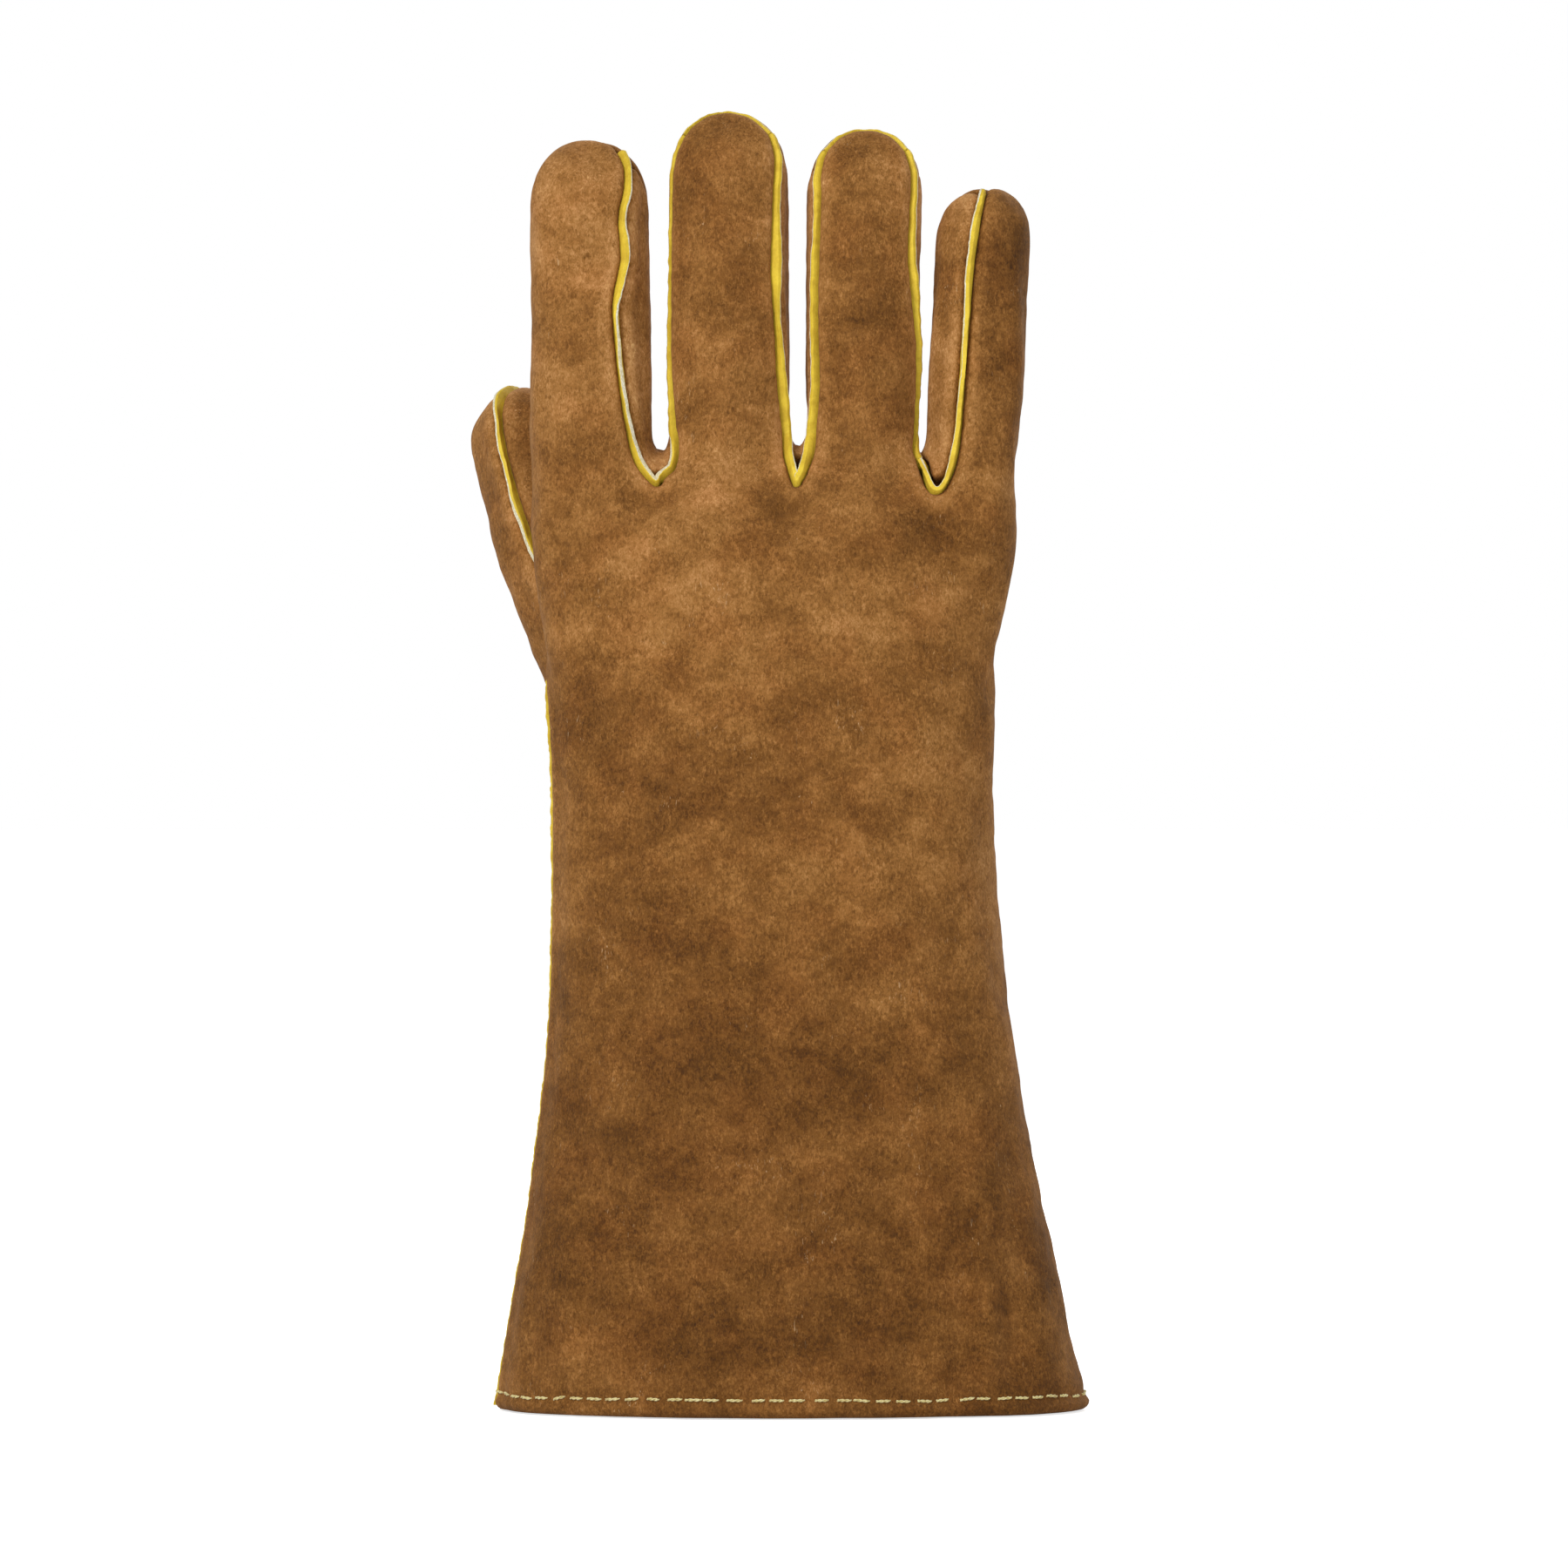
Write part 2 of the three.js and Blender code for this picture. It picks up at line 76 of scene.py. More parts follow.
CELL = 1.25  # size of the grid that the skin is first built on
LEATHER = 1.4
EDGE_ROLL = 1.9  # radius of a panel's edge where it turns into a seam
ROLL_STEPS = 4
EDGE_FLANGE = 1.6  # how far the turned edge goes on inwards
DEEPER = 1.1  # how much further it goes above the cuff
WELT_WIDTH = 1.5
PLAIN_SEAM_WIDTH = 0.3
TRUNK_POWER = 2.3  # exponent of the cuff's and hand's superellipse
TRUNK_CLOSES = 24  # the hand closes over this length below the fingers' roots
FINGER_POWER = 2.25
FINGER_FLATNESS = 0.87  # a finger's depth over its width
DOME = 1.25  # height of a fingertip's dome over the finger's half width
ROOT_FADE = 42.0  # how far a finger's body reaches down into the hand
WEB_MELT = 8.0  # how widely the fingers melt into the hand
THUMB_MELT = 9.0
PROBE_STEP = 0.2  # how far to either side the skin's gradient is measured
SEAM_STEP = 0.6  # spacing of the points along a seam

FINGERS = ("index", "middle", "ring", "little")

# ---- The frame, in millimetres ----

JOINTS = {joint["name"]: np.array(joint["pos_m"]) / MM for joint in frame["joints"]}


def node_mesh(node):
    mesh = frame["nodes"][node].data
    points = np.zeros(len(mesh.vertices) * 3)
    mesh.vertices.foreach_get("co", points)
    edges = np.zeros(len(mesh.edges) * 2, np.int32)
    mesh.edges.foreach_get("vertices", edges)
    return points.reshape(-1, 3) / MM, edges.reshape(-1, 2)


def section(nodes, height):
    """The lowest and highest x and y at which a level plane cuts these CAD nodes."""
    found = []
    for node in nodes:
        points, edges = node_mesh(node)
        a, b = points[edges[:, 0]], points[edges[:, 1]]
        crossing = (a[:, 2] - height) * (b[:, 2] - height) < 0
        a, b = a[crossing], b[crossing]
        share = ((height - a[:, 2]) / (b[:, 2] - a[:, 2]))[:, None]
        found.append(a + (b - a) * share)
    cut = np.vstack(found)
    return cut[:, 0].min(), cut[:, 0].max(), cut[:, 1].min(), cut[:, 1].max()


def top_of(*nodes):
    return max(node_mesh(node)[0][:, 2].max() for node in nodes)


# ---- The implicit skin ----


def ellipsoid(x, y, cx, cy, a, b, rise, height, power):
    """Distance to a superellipse section that closes as rise, over height, goes to 1."""
    u, v = np.abs((x - cx) / a), np.abs((y - cy) / b)
    w = rise / height
    up, vp, wp = u ** (power - 1), v ** (power - 1), w ** (power - 1)
    f = (up * u + vp * v + wp * w + 1e-9) ** (1 / power)
    slope = np.sqrt((up / a) ** 2 + (vp / b) ** 2 + (wp / height) ** 2) * f ** (1 - power)
    return (f - 1) / (slope + 1e-6)


def melt(a, b, width):
    """The smaller of two distances, rounded where they are about equal."""
    h = np.maximum(width - np.abs(a - b), 0) / width
    return np.minimum(a, b) - h * h * width / 4


class Trunk:
    """The cuff and hand: smooth curves through sections of the CAD's leather."""

    def __init__(self):
        cuff = ("cuff_back_leather", "cuff_palm_leather")
        hand = ("hand_back_leather", "hand_palm_leather")
        self.top = top_of(*hand)
        wrist = JOINTS["wrist_bend"][2]
        gap = 26  # the CAD's panels are notched this far either side of the wrist
        heights = [*np.linspace(1, wrist - gap, 9), *np.linspace(wrist + gap, self.top - 1, 7)]
        rows = np.array([section(cuff if z < wrist else hand, z) for z in heights])
        unit = np.array(heights) / self.top
        self.sides = [np.polyfit(unit, rows[:, k], 5) for k in range(4)]

    def sizes(self, z):
        unit = np.clip(z, -4, self.top) / self.top
        left, right, front, far = (np.polyval(side, unit) for side in self.sides)
        return (left + right) / 2, (front + far) / 2, (right - left) / 2, (far - front) / 2

    def distance(self, x, y, z):
        cx, cy, a, b = self.sizes(z)
        rise = np.maximum(z - (self.top - TRUNK_CLOSES), 0)
        return ellipsoid(x, y, cx, cy, a, b, rise, TRUNK_CLOSES + 1.0, TRUNK_POWER)


class Finger:
    """One finger: centre and half sizes fitted to sections of its CAD leather."""

    def __init__(self, name):
        self.name = name
        self.knuckle = JOINTS[f"{name}_knuckle_bend"][2]
        self.bend = JOINTS[f"{name}_middle_bend"][2]
        base = [n for n in frame["nodes"] if n.startswith(f"{name}_base") and "welt" not in n]
        tip = [n for n in frame["nodes"] if n.startswith(f"{name}_tip") and "welt" not in n]
        self.top = top_of(f"{name}_tip_back_leather") + 0.4
        self.root = TRUNK.top
        low, middle, high = self.root + 6, (self.knuckle + self.bend) / 2 - 4, self.top - 19
        sections = [section(base, low), section(base, middle), section(tip, high)]
        self.heights = np.array([low, middle, high])
        self.x = np.polyfit(self.heights, [(s[0] + s[1]) / 2 for s in sections], 1)
        self.half = [(s[1] - s[0]) / 2 for s in sections]
        self.lean = (JOINTS["wrist_bend"][1], (sections[2][2] + sections[2][3]) / 2)
        self.dome = self.half[2] * DOME

    def sizes(self, z):
        cx = np.polyval(self.x, np.maximum(z, self.root))
        share = np.clip((z - self.root) / (self.heights[2] - self.root), 0, 1.3) ** 2
        cy = self.lean[0] + (self.lean[1] - self.lean[0]) * share
        a = np.interp(z, self.heights, self.half)
        return cx, cy, a, a * FINGER_FLATNESS

    def distance(self, x, y, z):
        cx, cy, a, b = self.sizes(z)
        over, under = np.maximum(z - (self.top - self.dome), 0), np.maximum(self.root - z, 0)
        rise = over / self.dome + under / ROOT_FADE
        return ellipsoid(x, y, cx, cy, a, b, rise * self.dome, self.dome, FINGER_POWER)

    def point(self, z, angle):
        """A point of the finger's own surface, at an angle from its right side over the back."""
        cx, cy, a, b = self.sizes(z)
        over = np.clip((z - (self.top - self.dome)) / self.dome, 0, 1)
        left = (1 - over**FINGER_POWER) ** (1 / FINGER_POWER)
        c, s = np.cos(np.radians(angle)), np.sin(np.radians(angle))
        bend = 2 / FINGER_POWER
        c, s = np.sign(c) * np.abs(c) ** bend, np.sign(s) * np.abs(s) ** bend
        return np.stack([cx + a * left * c, cy - b * left * s, z + 0 * c], -1)


class Thumb:
    """A round tube along a curve from inside the hand through the thumb's bend to its tip."""

    def __init__(self):
        start, bend = JOINTS["thumb_spread"], JOINTS["thumb_middle_bend"]
        nodes = ("thumb_tip_outer_leather", "thumb_tip_inner_leather")
        shell = np.vstack([node_mesh(node)[0] for node in nodes])
        apex = shell[np.argmax(np.linalg.norm(shell - bend, axis=1))]
        cuff = shell[np.linalg.norm(shell - bend, axis=1) < 20]
        along = (apex - bend) / np.linalg.norm(apex - bend)
        off_axis = (cuff - bend) - np.outer((cuff - bend) @ along, along)
        self.radius = np.percentile(np.linalg.norm(off_axis, axis=1), 90)
        end = apex - along * (self.radius - 1.5)
        t = np.linspace(0, 1, 28)[:, None]
        middle = 2 * bend - (start + end) / 2
        self.axis = (1 - t) ** 2 * start + 2 * t * (1 - t) * middle + t**2 * end
        steps = np.linalg.norm(np.diff(self.axis, axis=0), axis=1)
        self.run = np.concatenate([[0], np.cumsum(steps)])
        self.length = self.run[-1]
        self.bend_run = self.run[np.argmin(np.linalg.norm(self.axis - bend, axis=1))]
        self.low = self.axis.min(0) - self.radius * 2.2
        self.high = self.axis.max(0) + self.radius * 2.2

    def radius_at(self, run):
        return self.radius * (1.16 - 0.16 * np.clip(run / self.length, 0, 1) ** 0.8)

    def frame_at(self, run):
        centre = np.stack([np.interp(run, self.run, self.axis[:, k]) for k in range(3)], -1)
        ahead = np.stack([np.interp(run + 2, self.run, self.axis[:, k]) for k in range(3)], -1)
        back = np.stack([np.interp(run - 2, self.run, self.axis[:, k]) for k in range(3)], -1)
        up = ahead - back
        up /= np.linalg.norm(up, axis=-1, keepdims=True)
        side = np.array([1.0, 0, 0]) - up * up[..., :1]
        side /= np.linalg.norm(side, axis=-1, keepdims=True)
        return centre, side, np.cross(side, up), up

    def distance(self, p):
        best = np.full(len(p), 1e9)
        for i in range(len(self.axis) - 1):
            a, b = self.axis[i], self.axis[i + 1]
            ab = b - a
            t = np.clip((p - a) @ ab / (ab @ ab), 0, 1)
            run = self.run[i] + t * (self.run[i + 1] - self.run[i])
            away = np.linalg.norm(p - a - t[:, None] * ab, axis=1) - self.radius_at(run)
            best = np.minimum(best, away)
        return best


TRUNK = Trunk()
BODY = {name: Finger(name) for name in FINGERS}
THUMB = Thumb()


def trunk_and_fingers(p):
    """Signed distance, about, from points to the glove's outer surface without its thumb."""
    x, y, z = p.T
    fingers = np.min([body.distance(x, y, z) for body in BODY.values()], axis=0)
    return melt(TRUNK.distance(x, y, z), fingers, WEB_MELT)


def skin(p):
    """Signed distance, about, from points to the glove's outer surface."""
    whole = trunk_and_fingers(p)
    near = np.all((p > THUMB.low) & (p < THUMB.high), axis=1)
    whole[near] = melt(whole[near], THUMB.distance(p[near]), THUMB_MELT)
    return whole


def differences(p):
    """How much the skin's distance grows along each axis, from a probe step behind to one ahead."""
    steps = PROBE_STEP * np.eye(3)
    return np.stack([skin(p + step) - skin(p - step) for step in steps], -1)


def slope(p):
    """Unit gradient of the skin's distance."""
    g = differences(p)
    return g / (np.linalg.norm(g, axis=1, keepdims=True) + 1e-12)


def onto_skin(p, rounds=3, reach=1.5):
    """Moves points to the skin by Newton's steps, each no longer than reach."""
    for _ in range(rounds):
        f = skin(p)[:, None]
        g = differences(p) / (2 * PROBE_STEP)
        move = -f * g / ((g * g).sum(1, keepdims=True) + 0.03)
        far = np.linalg.norm(move, axis=1, keepdims=True)
        p = p + move * np.minimum(1, reach / (far + 1e-9))
    return p


# ---- The skin's mesh ----


def sample_grid():
    low = np.array([TRUNK.sizes(0)[0] - 95, TRUNK.sizes(0)[1] - 50, -3.2])
    high = np.array([TRUNK.sizes(0)[0] + 95, THUMB.high[1], BODY["middle"].top + 4])
    axes = [np.arange(a, b, CELL) for a, b in zip(low, high)]
    x, y, z = axes[0][:, None, None], axes[1][None, :, None], axes[2][None, None, :]
    values = TRUNK.distance(x, y, z)
    fingers = np.full(values.shape, 50.0)
    for body in BODY.values():
        span = slice(int((body.root - ROOT_FADE - low[2]) / CELL), None)
        fingers[:, :, span] = np.minimum(fingers[:, :, span], body.distance(x, y, z[:, :, span]))
    values = melt(values, fingers, WEB_MELT)
    ends = zip(THUMB.low, THUMB.high)
    box = tuple(slice(*np.searchsorted(axis, pair)) for axis, pair in zip(axes, ends))
    around_thumb = (axis[cut] for axis, cut in zip(axes, box))
    points = np.stack(np.meshgrid(*around_thumb, indexing="ij"), -1)
    thumb = THUMB.distance(points.reshape(-1, 3)).reshape(points.shape[:3])
    values[box] = melt(values[box], thumb, THUMB_MELT)
    return values, low


CORNERS = [(i, j, k) for i in (0, 1) for j in (0, 1) for k in (0, 1)]


def surface_net(values, low, cell):
    """Vertices and quads of the zero surface of a grid of values."""
    shape = np.array(values.shape) - 1
    inside = values < 0
    a, b, c = shape
    corners = (inside[i : i + a, j : j + b, k : k + c] for i, j, k in CORNERS)
    counts = sum(corner.astype(np.int8) for corner in corners)
    mixed = (counts > 0) & (counts < 8)
    cells = np.argwhere(mixed)
    index = np.full(mixed.shape, -1, np.int64)
    index[mixed] = np.arange(len(cells))
    corner = np.stack([values[tuple((cells + c).T)] for c in CORNERS], -1)
    total, weight = np.zeros((len(cells), 3)), np.zeros(len(cells))
    for a, ca in enumerate(CORNERS):
        for b, cb in enumerate(CORNERS):
            if b > a and sum(abs(m - n) for m, n in zip(ca, cb)) == 1:
                va, vb = corner[:, a], corner[:, b]
                cut = (va < 0) != (vb < 0)
                t = np.where(cut, va / np.where(cut, va - vb, 1), 0)[:, None]
                place = np.array(ca) * (1 - t) + np.array(cb) * t
                total += np.where(cut[:, None], place, 0)
                weight += cut
    vertices = low + cell * (cells + total / weight[:, None])
    quads = []
    for axis in range(3):
        u, v = (axis + 1) % 3, (axis + 2) % 3
        body = [slice(None)] * 3
        body[axis] = slice(0, shape[axis])
        body[u], body[v] = slice(1, shape[u]), slice(1, shape[v])
        ahead = list(body)
        ahead[axis] = slice(1, shape[axis] + 1)
        here, there = inside[tuple(body)], inside[tuple(ahead)]
        at = np.argwhere(here != there)
        leaving = here[tuple(at.T)]
        at[:, u] += 1
        at[:, v] += 1
        eu, ev = np.eye(3, dtype=int)[u], np.eye(3, dtype=int)[v]
        ring = np.stack([index[tuple((at - d).T)] for d in (0 * eu, eu, eu + ev, ev)], -1)
        ring[~leaving] = ring[~leaving][:, ::-1]
        quads.append(ring)
    quads = np.vstack(quads)
    return vertices, quads[(quads >= 0).all(1)]


def towards_neighbours(vertices, quads, share):
    """Moves each vertex this share of the way to the mean of those it has an edge with."""
    a, b = np.vstack([quads[:, [k, (k + 1) % 4]] for k in range(4)]).T
    count = np.maximum(np.bincount(a, minlength=len(vertices)), 1)[:, None]
    total = [np.bincount(a, vertices[b, k], len(vertices)) for k in range(3)]
    return vertices + share * (np.stack(total, -1) / count - vertices)


def relax(vertices, quads, rounds=3):
    """Evens out the quads along the skin."""
    for _ in range(rounds):
        vertices = onto_skin(towards_neighbours(vertices, quads, 0.6), 1)
    return onto_skin(vertices, 1)


def triangles_of(vertices, quads):
    a, b, c, d = (vertices[quads[:, k]] for k in range(4))
    short = np.linalg.norm(a - c, axis=1) <= np.linalg.norm(b - d, axis=1)
    q, r = quads[short], quads[~short]
    return np.vstack([q[:, [0, 1, 2]], q[:, [0, 2, 3]], r[:, [0, 1, 3]], r[:, [1, 2, 3]]])


# ---- Noise ----


def ripples(p, wavelength, seed, stretch=(1, 1, 1), waves=12):
    """A smooth random field of about this wavelength, with values of about -1 to 1."""
    random = np.random.default_rng(seed)
    direction = random.normal(size=(waves, 3))
    direction /= np.linalg.norm(direction, axis=1, keepdims=True)
    rate = TAU / wavelength * random.uniform(0.7, 1.4, (waves, 1))
    phase = random.uniform(0, TAU, waves)
    return np.sin((p / np.array(stretch)) @ (direction * rate).T + phase).sum(1) / math.sqrt(waves)


def bump(distance, width):
    return np.exp(-((distance / width) ** 2))


# ---- Seam lines ----

# Where the seams run on each finger, from its root to the fourchette's end: its length's share, angle.
# Angles go from the little-finger side (0) over the back (90) to the thumb side (180).
BACK_SEAMS = {
    ("index", 1): [
        (0.04, 50), (0.145, 58), (0.34, 64), (0.48, 67),
        (0.62, 54), (0.74, 60), (0.86, 46), (0.962, 30),
    ],
    ("middle", -1): [(0.04, 157), (0.2, 166), (0.5, 170), (0.8, 168), (0.93, 162)],
    ("middle", 1): [(0.04, 17), (0.2, 33), (0.5, 41), (0.8, 35), (0.93, 22)],
    ("ring", -1): [(0.04, 155), (0.2, 144), (0.5, 149), (0.8, 145), (0.93, 158)],
    ("ring", 1): [(0.04, 3), (0.2, 6), (0.4, 18), (0.6, 34), (0.8, 30), (0.93, 22)],
    ("little", -1): [(0.04, 110), (0.2, 108), (0.45, 106), (0.7, 103), (0.88, 98), (0.985, 98)],
}
PALM_SEAMS = {
    ("index", 1): [(0.04, -38), (0.2, -22), (0.5, -12), (0.8, -4), (0.962, 30)],
    ("middle", -1): [(0.04, 222), (0.2, 208), (0.5, 200), (0.8, 194), (0.93, 162)],
    ("middle", 1): [(0.04, -38), (0.2, -24), (0.5, -18), (0.8, -12), (0.93, 22)],
    ("ring", -1): [(0.04, 218), (0.2, 206), (0.5, 200), (0.8, 196), (0.93, 158)],
    ("ring", 1): [(0.04, -38), (0.2, -28), (0.5, -20), (0.8, -12), (0.93, 22)],
    ("little", -1): [(0.04, 218), (0.2, 204), (0.5, 200), (0.8, 200), (0.94, 196), (0.985, 98)],
}
INDEX_OUTER_ANGLE = 207
LITTLE_OUTER_ANGLE = -26
# The lowest point of each fourchette on the back: how far right of the gap's middle, and how far
# below the fingers' roots
VEE = [(-0.8, 3.6), (-0.1, 5.2), (4.2, 12.5)]
PALM_VEE_DROP = 9.0
THUMB_FRONT_ANGLE = 121
THUMB_FAR_ANGLE = 301


def smooth_line(points, rounds=3, closed=False):
    """Corner cutting: a smooth line near these points that keeps its ends."""
    points = np.array(points, float)
    for _ in range(rounds):
        a, b = (points, np.roll(points, -1, 0)) if closed else (points[:-1], points[1:])
        inner = np.stack([0.75 * a + 0.25 * b, 0.25 * a + 0.75 * b], 1).reshape(-1, 3)
        points = inner if closed else np.vstack([points[:1], inner, points[-1:]])
    return points


def even_line(points, step=SEAM_STEP, closed=False):
    """The same line with points at equal steps."""
    if closed:
        points = np.vstack([points, points[:1]])
    run = np.concatenate([[0], np.cumsum(np.linalg.norm(np.diff(points, axis=0), axis=1))])
    at = np.linspace(0, run[-1], max(3, int(run[-1] / step)))
    line = np.stack([np.interp(at, run, points[:, k]) for k in range(3)], -1)
    return line[:-1] if closed else line


def on_skin(points, closed=False):
    line = even_line(onto_skin(smooth_line(points, closed=closed), 8), closed=closed)
    return onto_skin(line, 4)


def finger_line(name, rows):
    body = BODY[name]
    shares, angles = np.array(rows).T
    dense = np.linspace(shares[0], shares[-1], 14)
    z = body.root + dense * (body.top - body.root)
    return body.point(z, np.interp(dense, shares, angles))


def trunk_point(z, angle):
    cx, cy, a, b = TRUNK.sizes(z)
    c, s = math.cos(math.radians(angle)), math.sin(math.radians(angle))
    bend = 2 / TRUNK_POWER
    c, s = math.copysign(abs(c) ** bend, c), math.copysign(abs(s) ** bend, s)
    return np.array([cx + a * c, cy - b * s, z])


def apex(name):
    body = BODY[name]
    cx, cy, _, _ = body.sizes(body.top)
    return np.array([cx, cy, body.top])


def vee_middle(k, aside):
    """The x of the lowest point of the fourchette between finger k and the next one."""
    left, right = BODY[FINGERS[k]], BODY[FINGERS[k + 1]]
    return (left.point(left.root, 0)[0] + right.point(right.root, 180)[0]) / 2 + aside


def gap_lines(seams, vees, side):
    """For each gap between fingers, the line down one finger, round the vee and up the next."""
    lines = []
    for k, (aside, drop) in enumerate(vees):
        left, right = BODY[FINGERS[k]], BODY[FINGERS[k + 1]]
        depth = TRUNK.sizes(TRUNK.top)[1] + side * 20
        vee = np.array([vee_middle(k, aside), depth, TRUNK.top - drop])
        down = finger_line(left.name, seams[left.name, 1])[::-1]
        up = finger_line(right.name, seams[right.name, -1])
        bottom = [vee, vee] if side < 0 and k < 2 else [vee]
        lines.append(on_skin(np.vstack([down, bottom, up])))
    return lines


def thumb_ring():
    """Where the thumb's tube leaves the hand."""
    points = []
    for angle in np.linspace(0, TAU, 36, endpoint=False):
        run = np.linspace(0, THUMB.length, 80)
        centre, side, back, _ = THUMB.frame_at(run)
        around = side * math.cos(angle) + back * math.sin(angle)
        line = centre + THUMB.radius_at(run)[:, None] * around
        inside = np.nonzero(TRUNK.distance(*line.T) < 0)[0]
        points.append(line[min(inside[-1] + 1, len(line) - 1)] if len(inside) else line[0])
    return on_skin(points, closed=True)


def thumb_line(angle, ring):
    """From the thumb's apex along one side down to the ring."""
    run = np.linspace(THUMB.length + THUMB.radius * 0.5, 0, 60)
    centre, side, back, up = THUMB.frame_at(np.minimum(run, THUMB.length))
    beyond = np.maximum(run - THUMB.length, 0)
    radius = np.sqrt(np.maximum(THUMB.radius_at(run) ** 2 - beyond**2, 1))
    around = side * math.cos(math.radians(angle)) + back * math.sin(math.radians(angle))
    line = centre + up * beyond[:, None] + radius[:, None] * around
    outside = TRUNK.distance(*line.T) > 3
    last = np.nonzero(~outside)[0]
    line = line[: last[0]] if len(last) else line
    end = ring[np.argmin(np.linalg.norm(ring - line[-1], axis=1))]
    tip = THUMB.axis[-1] + up[0] * THUMB.radius
    return on_skin(np.vstack([[tip], line, [end]]))


def side_lines(ring):
    """The outer seams: little-finger side, and the thumb side below and above the thumb's ring."""
    index, little = BODY["index"], BODY["little"]
    heights = np.linspace(-2, little.root - 14, 14)
    right = [trunk_point(z, np.interp(z, [190, 250], [-18, -30])) for z in heights]
    rows = [(0.08, LITTLE_OUTER_ANGLE - 8), (0.5, LITTLE_OUTER_ANGLE), (0.9, LITTLE_OUTER_ANGLE)]
    over = apex("little") + (1.5, 3.0, -0.6)
    end = finger_line("little", BACK_SEAMS["little", -1])[-1]
    right = on_skin(np.vstack([right, finger_line("little", rows), [over, end]]))
    edge = trunk_point(JOINTS["wrist_bend"][2] + 52, 180)
    join = ring[np.argmin(np.linalg.norm(ring - edge, axis=1))]
    low = [trunk_point(z, 178) for z in np.linspace(-2, join[2] - 14, 12)]
    low = on_skin(np.vstack([low, [join]]))
    middle = trunk_point(index.root - 14, INDEX_OUTER_ANGLE)
    leave = ring[np.argmin(np.linalg.norm(ring - middle, axis=1))]
    outer = finger_line("index", [(share, INDEX_OUTER_ANGLE) for share in (0.05, 0.5, 0.88)])
    over = apex("index") + (-1.0, 2.0, -0.4)
    end = finger_line("index", BACK_SEAMS["index", 1])[-1]
    high = on_skin(np.vstack([[leave, middle], outer, [over, end]]))
    return {"little_side": right, "cuff_thumb_side": low, "index_side": high}


def tip_line(name):
    ends = [finger_line(name, BACK_SEAMS[name, side])[-1] for side in (-1, 1)]
    return on_skin([ends[0], apex(name), ends[1]])


def all_seams():
    """Every seam: name -> (line of points on the skin, width of what is sewn into it)."""
    ring = thumb_ring()
    seams = {}
    for k, line in enumerate(gap_lines(BACK_SEAMS, VEE, -1)):
        seams[f"back_gap_{k}"] = (line, WELT_WIDTH)
    palm_vee = [(aside, PALM_VEE_DROP) for aside, _ in VEE]
    for k, line in enumerate(gap_lines(PALM_SEAMS, palm_vee, 1)):
        seams[f"palm_gap_{k}"] = (line, PLAIN_SEAM_WIDTH)
    for name in ("middle", "ring"):
        seams[f"{name}_tip"] = (tip_line(name), WELT_WIDTH)
    sides = side_lines(ring)
    seams["cuff_thumb_side"] = (sides["cuff_thumb_side"], WELT_WIDTH)
    seams["index_side"] = (sides["index_side"], PLAIN_SEAM_WIDTH)
    seams["little_side"] = (sides["little_side"], PLAIN_SEAM_WIDTH)
    seams["thumb_ring"] = (ring, PLAIN_SEAM_WIDTH)
    seams["thumb_front"] = (thumb_line(THUMB_FRONT_ANGLE, ring), WELT_WIDTH)
    seams["thumb_far"] = (thumb_line(THUMB_FAR_ANGLE, ring), PLAIN_SEAM_WIDTH)
    return seams


# ---- Sheets: arrays that become meshes ----


class Sheet:
    """Triangles, with values at their vertices and one tag, a material's number, on each triangle."""

    def __init__(self, points, triangles, values=None, tags=None):
        self.points = points
        self.triangles = triangles
        self.values = values or {}
        self.tags = np.zeros(len(triangles), np.int32) if tags is None else tags

    def take(self, faces):
        used = np.zeros(len(self.points), bool)
        used[self.triangles[faces]] = True
        number = np.cumsum(used) - 1
        values = {name: value[used] for name, value in self.values.items()}
        return Sheet(self.points[used], number[self.triangles[faces]], values, self.tags[faces])

    def centres(self):
        return self.points[self.triangles].mean(1)


def joined(sheets):
    """One sheet made of several, with the values that the first one has."""
    first = np.cumsum([0] + [len(sheet.points) for sheet in sheets[:-1]])
    triangles = np.vstack([sheet.triangles + start for sheet, start in zip(sheets, first)])
    values = {}
    for name in sheets[0].values:
        values[name] = np.concatenate([sheet.values[name] for sheet in sheets])
    points = np.vstack([sheet.points for sheet in sheets])
    return Sheet(points, triangles, values, np.concatenate([sheet.tags for sheet in sheets]))


def along_edges(array, start, end, share):
    share = share.reshape((-1,) + (1,) * (array.ndim - 1))
    return array[start] + (array[end] - array[start]) * share


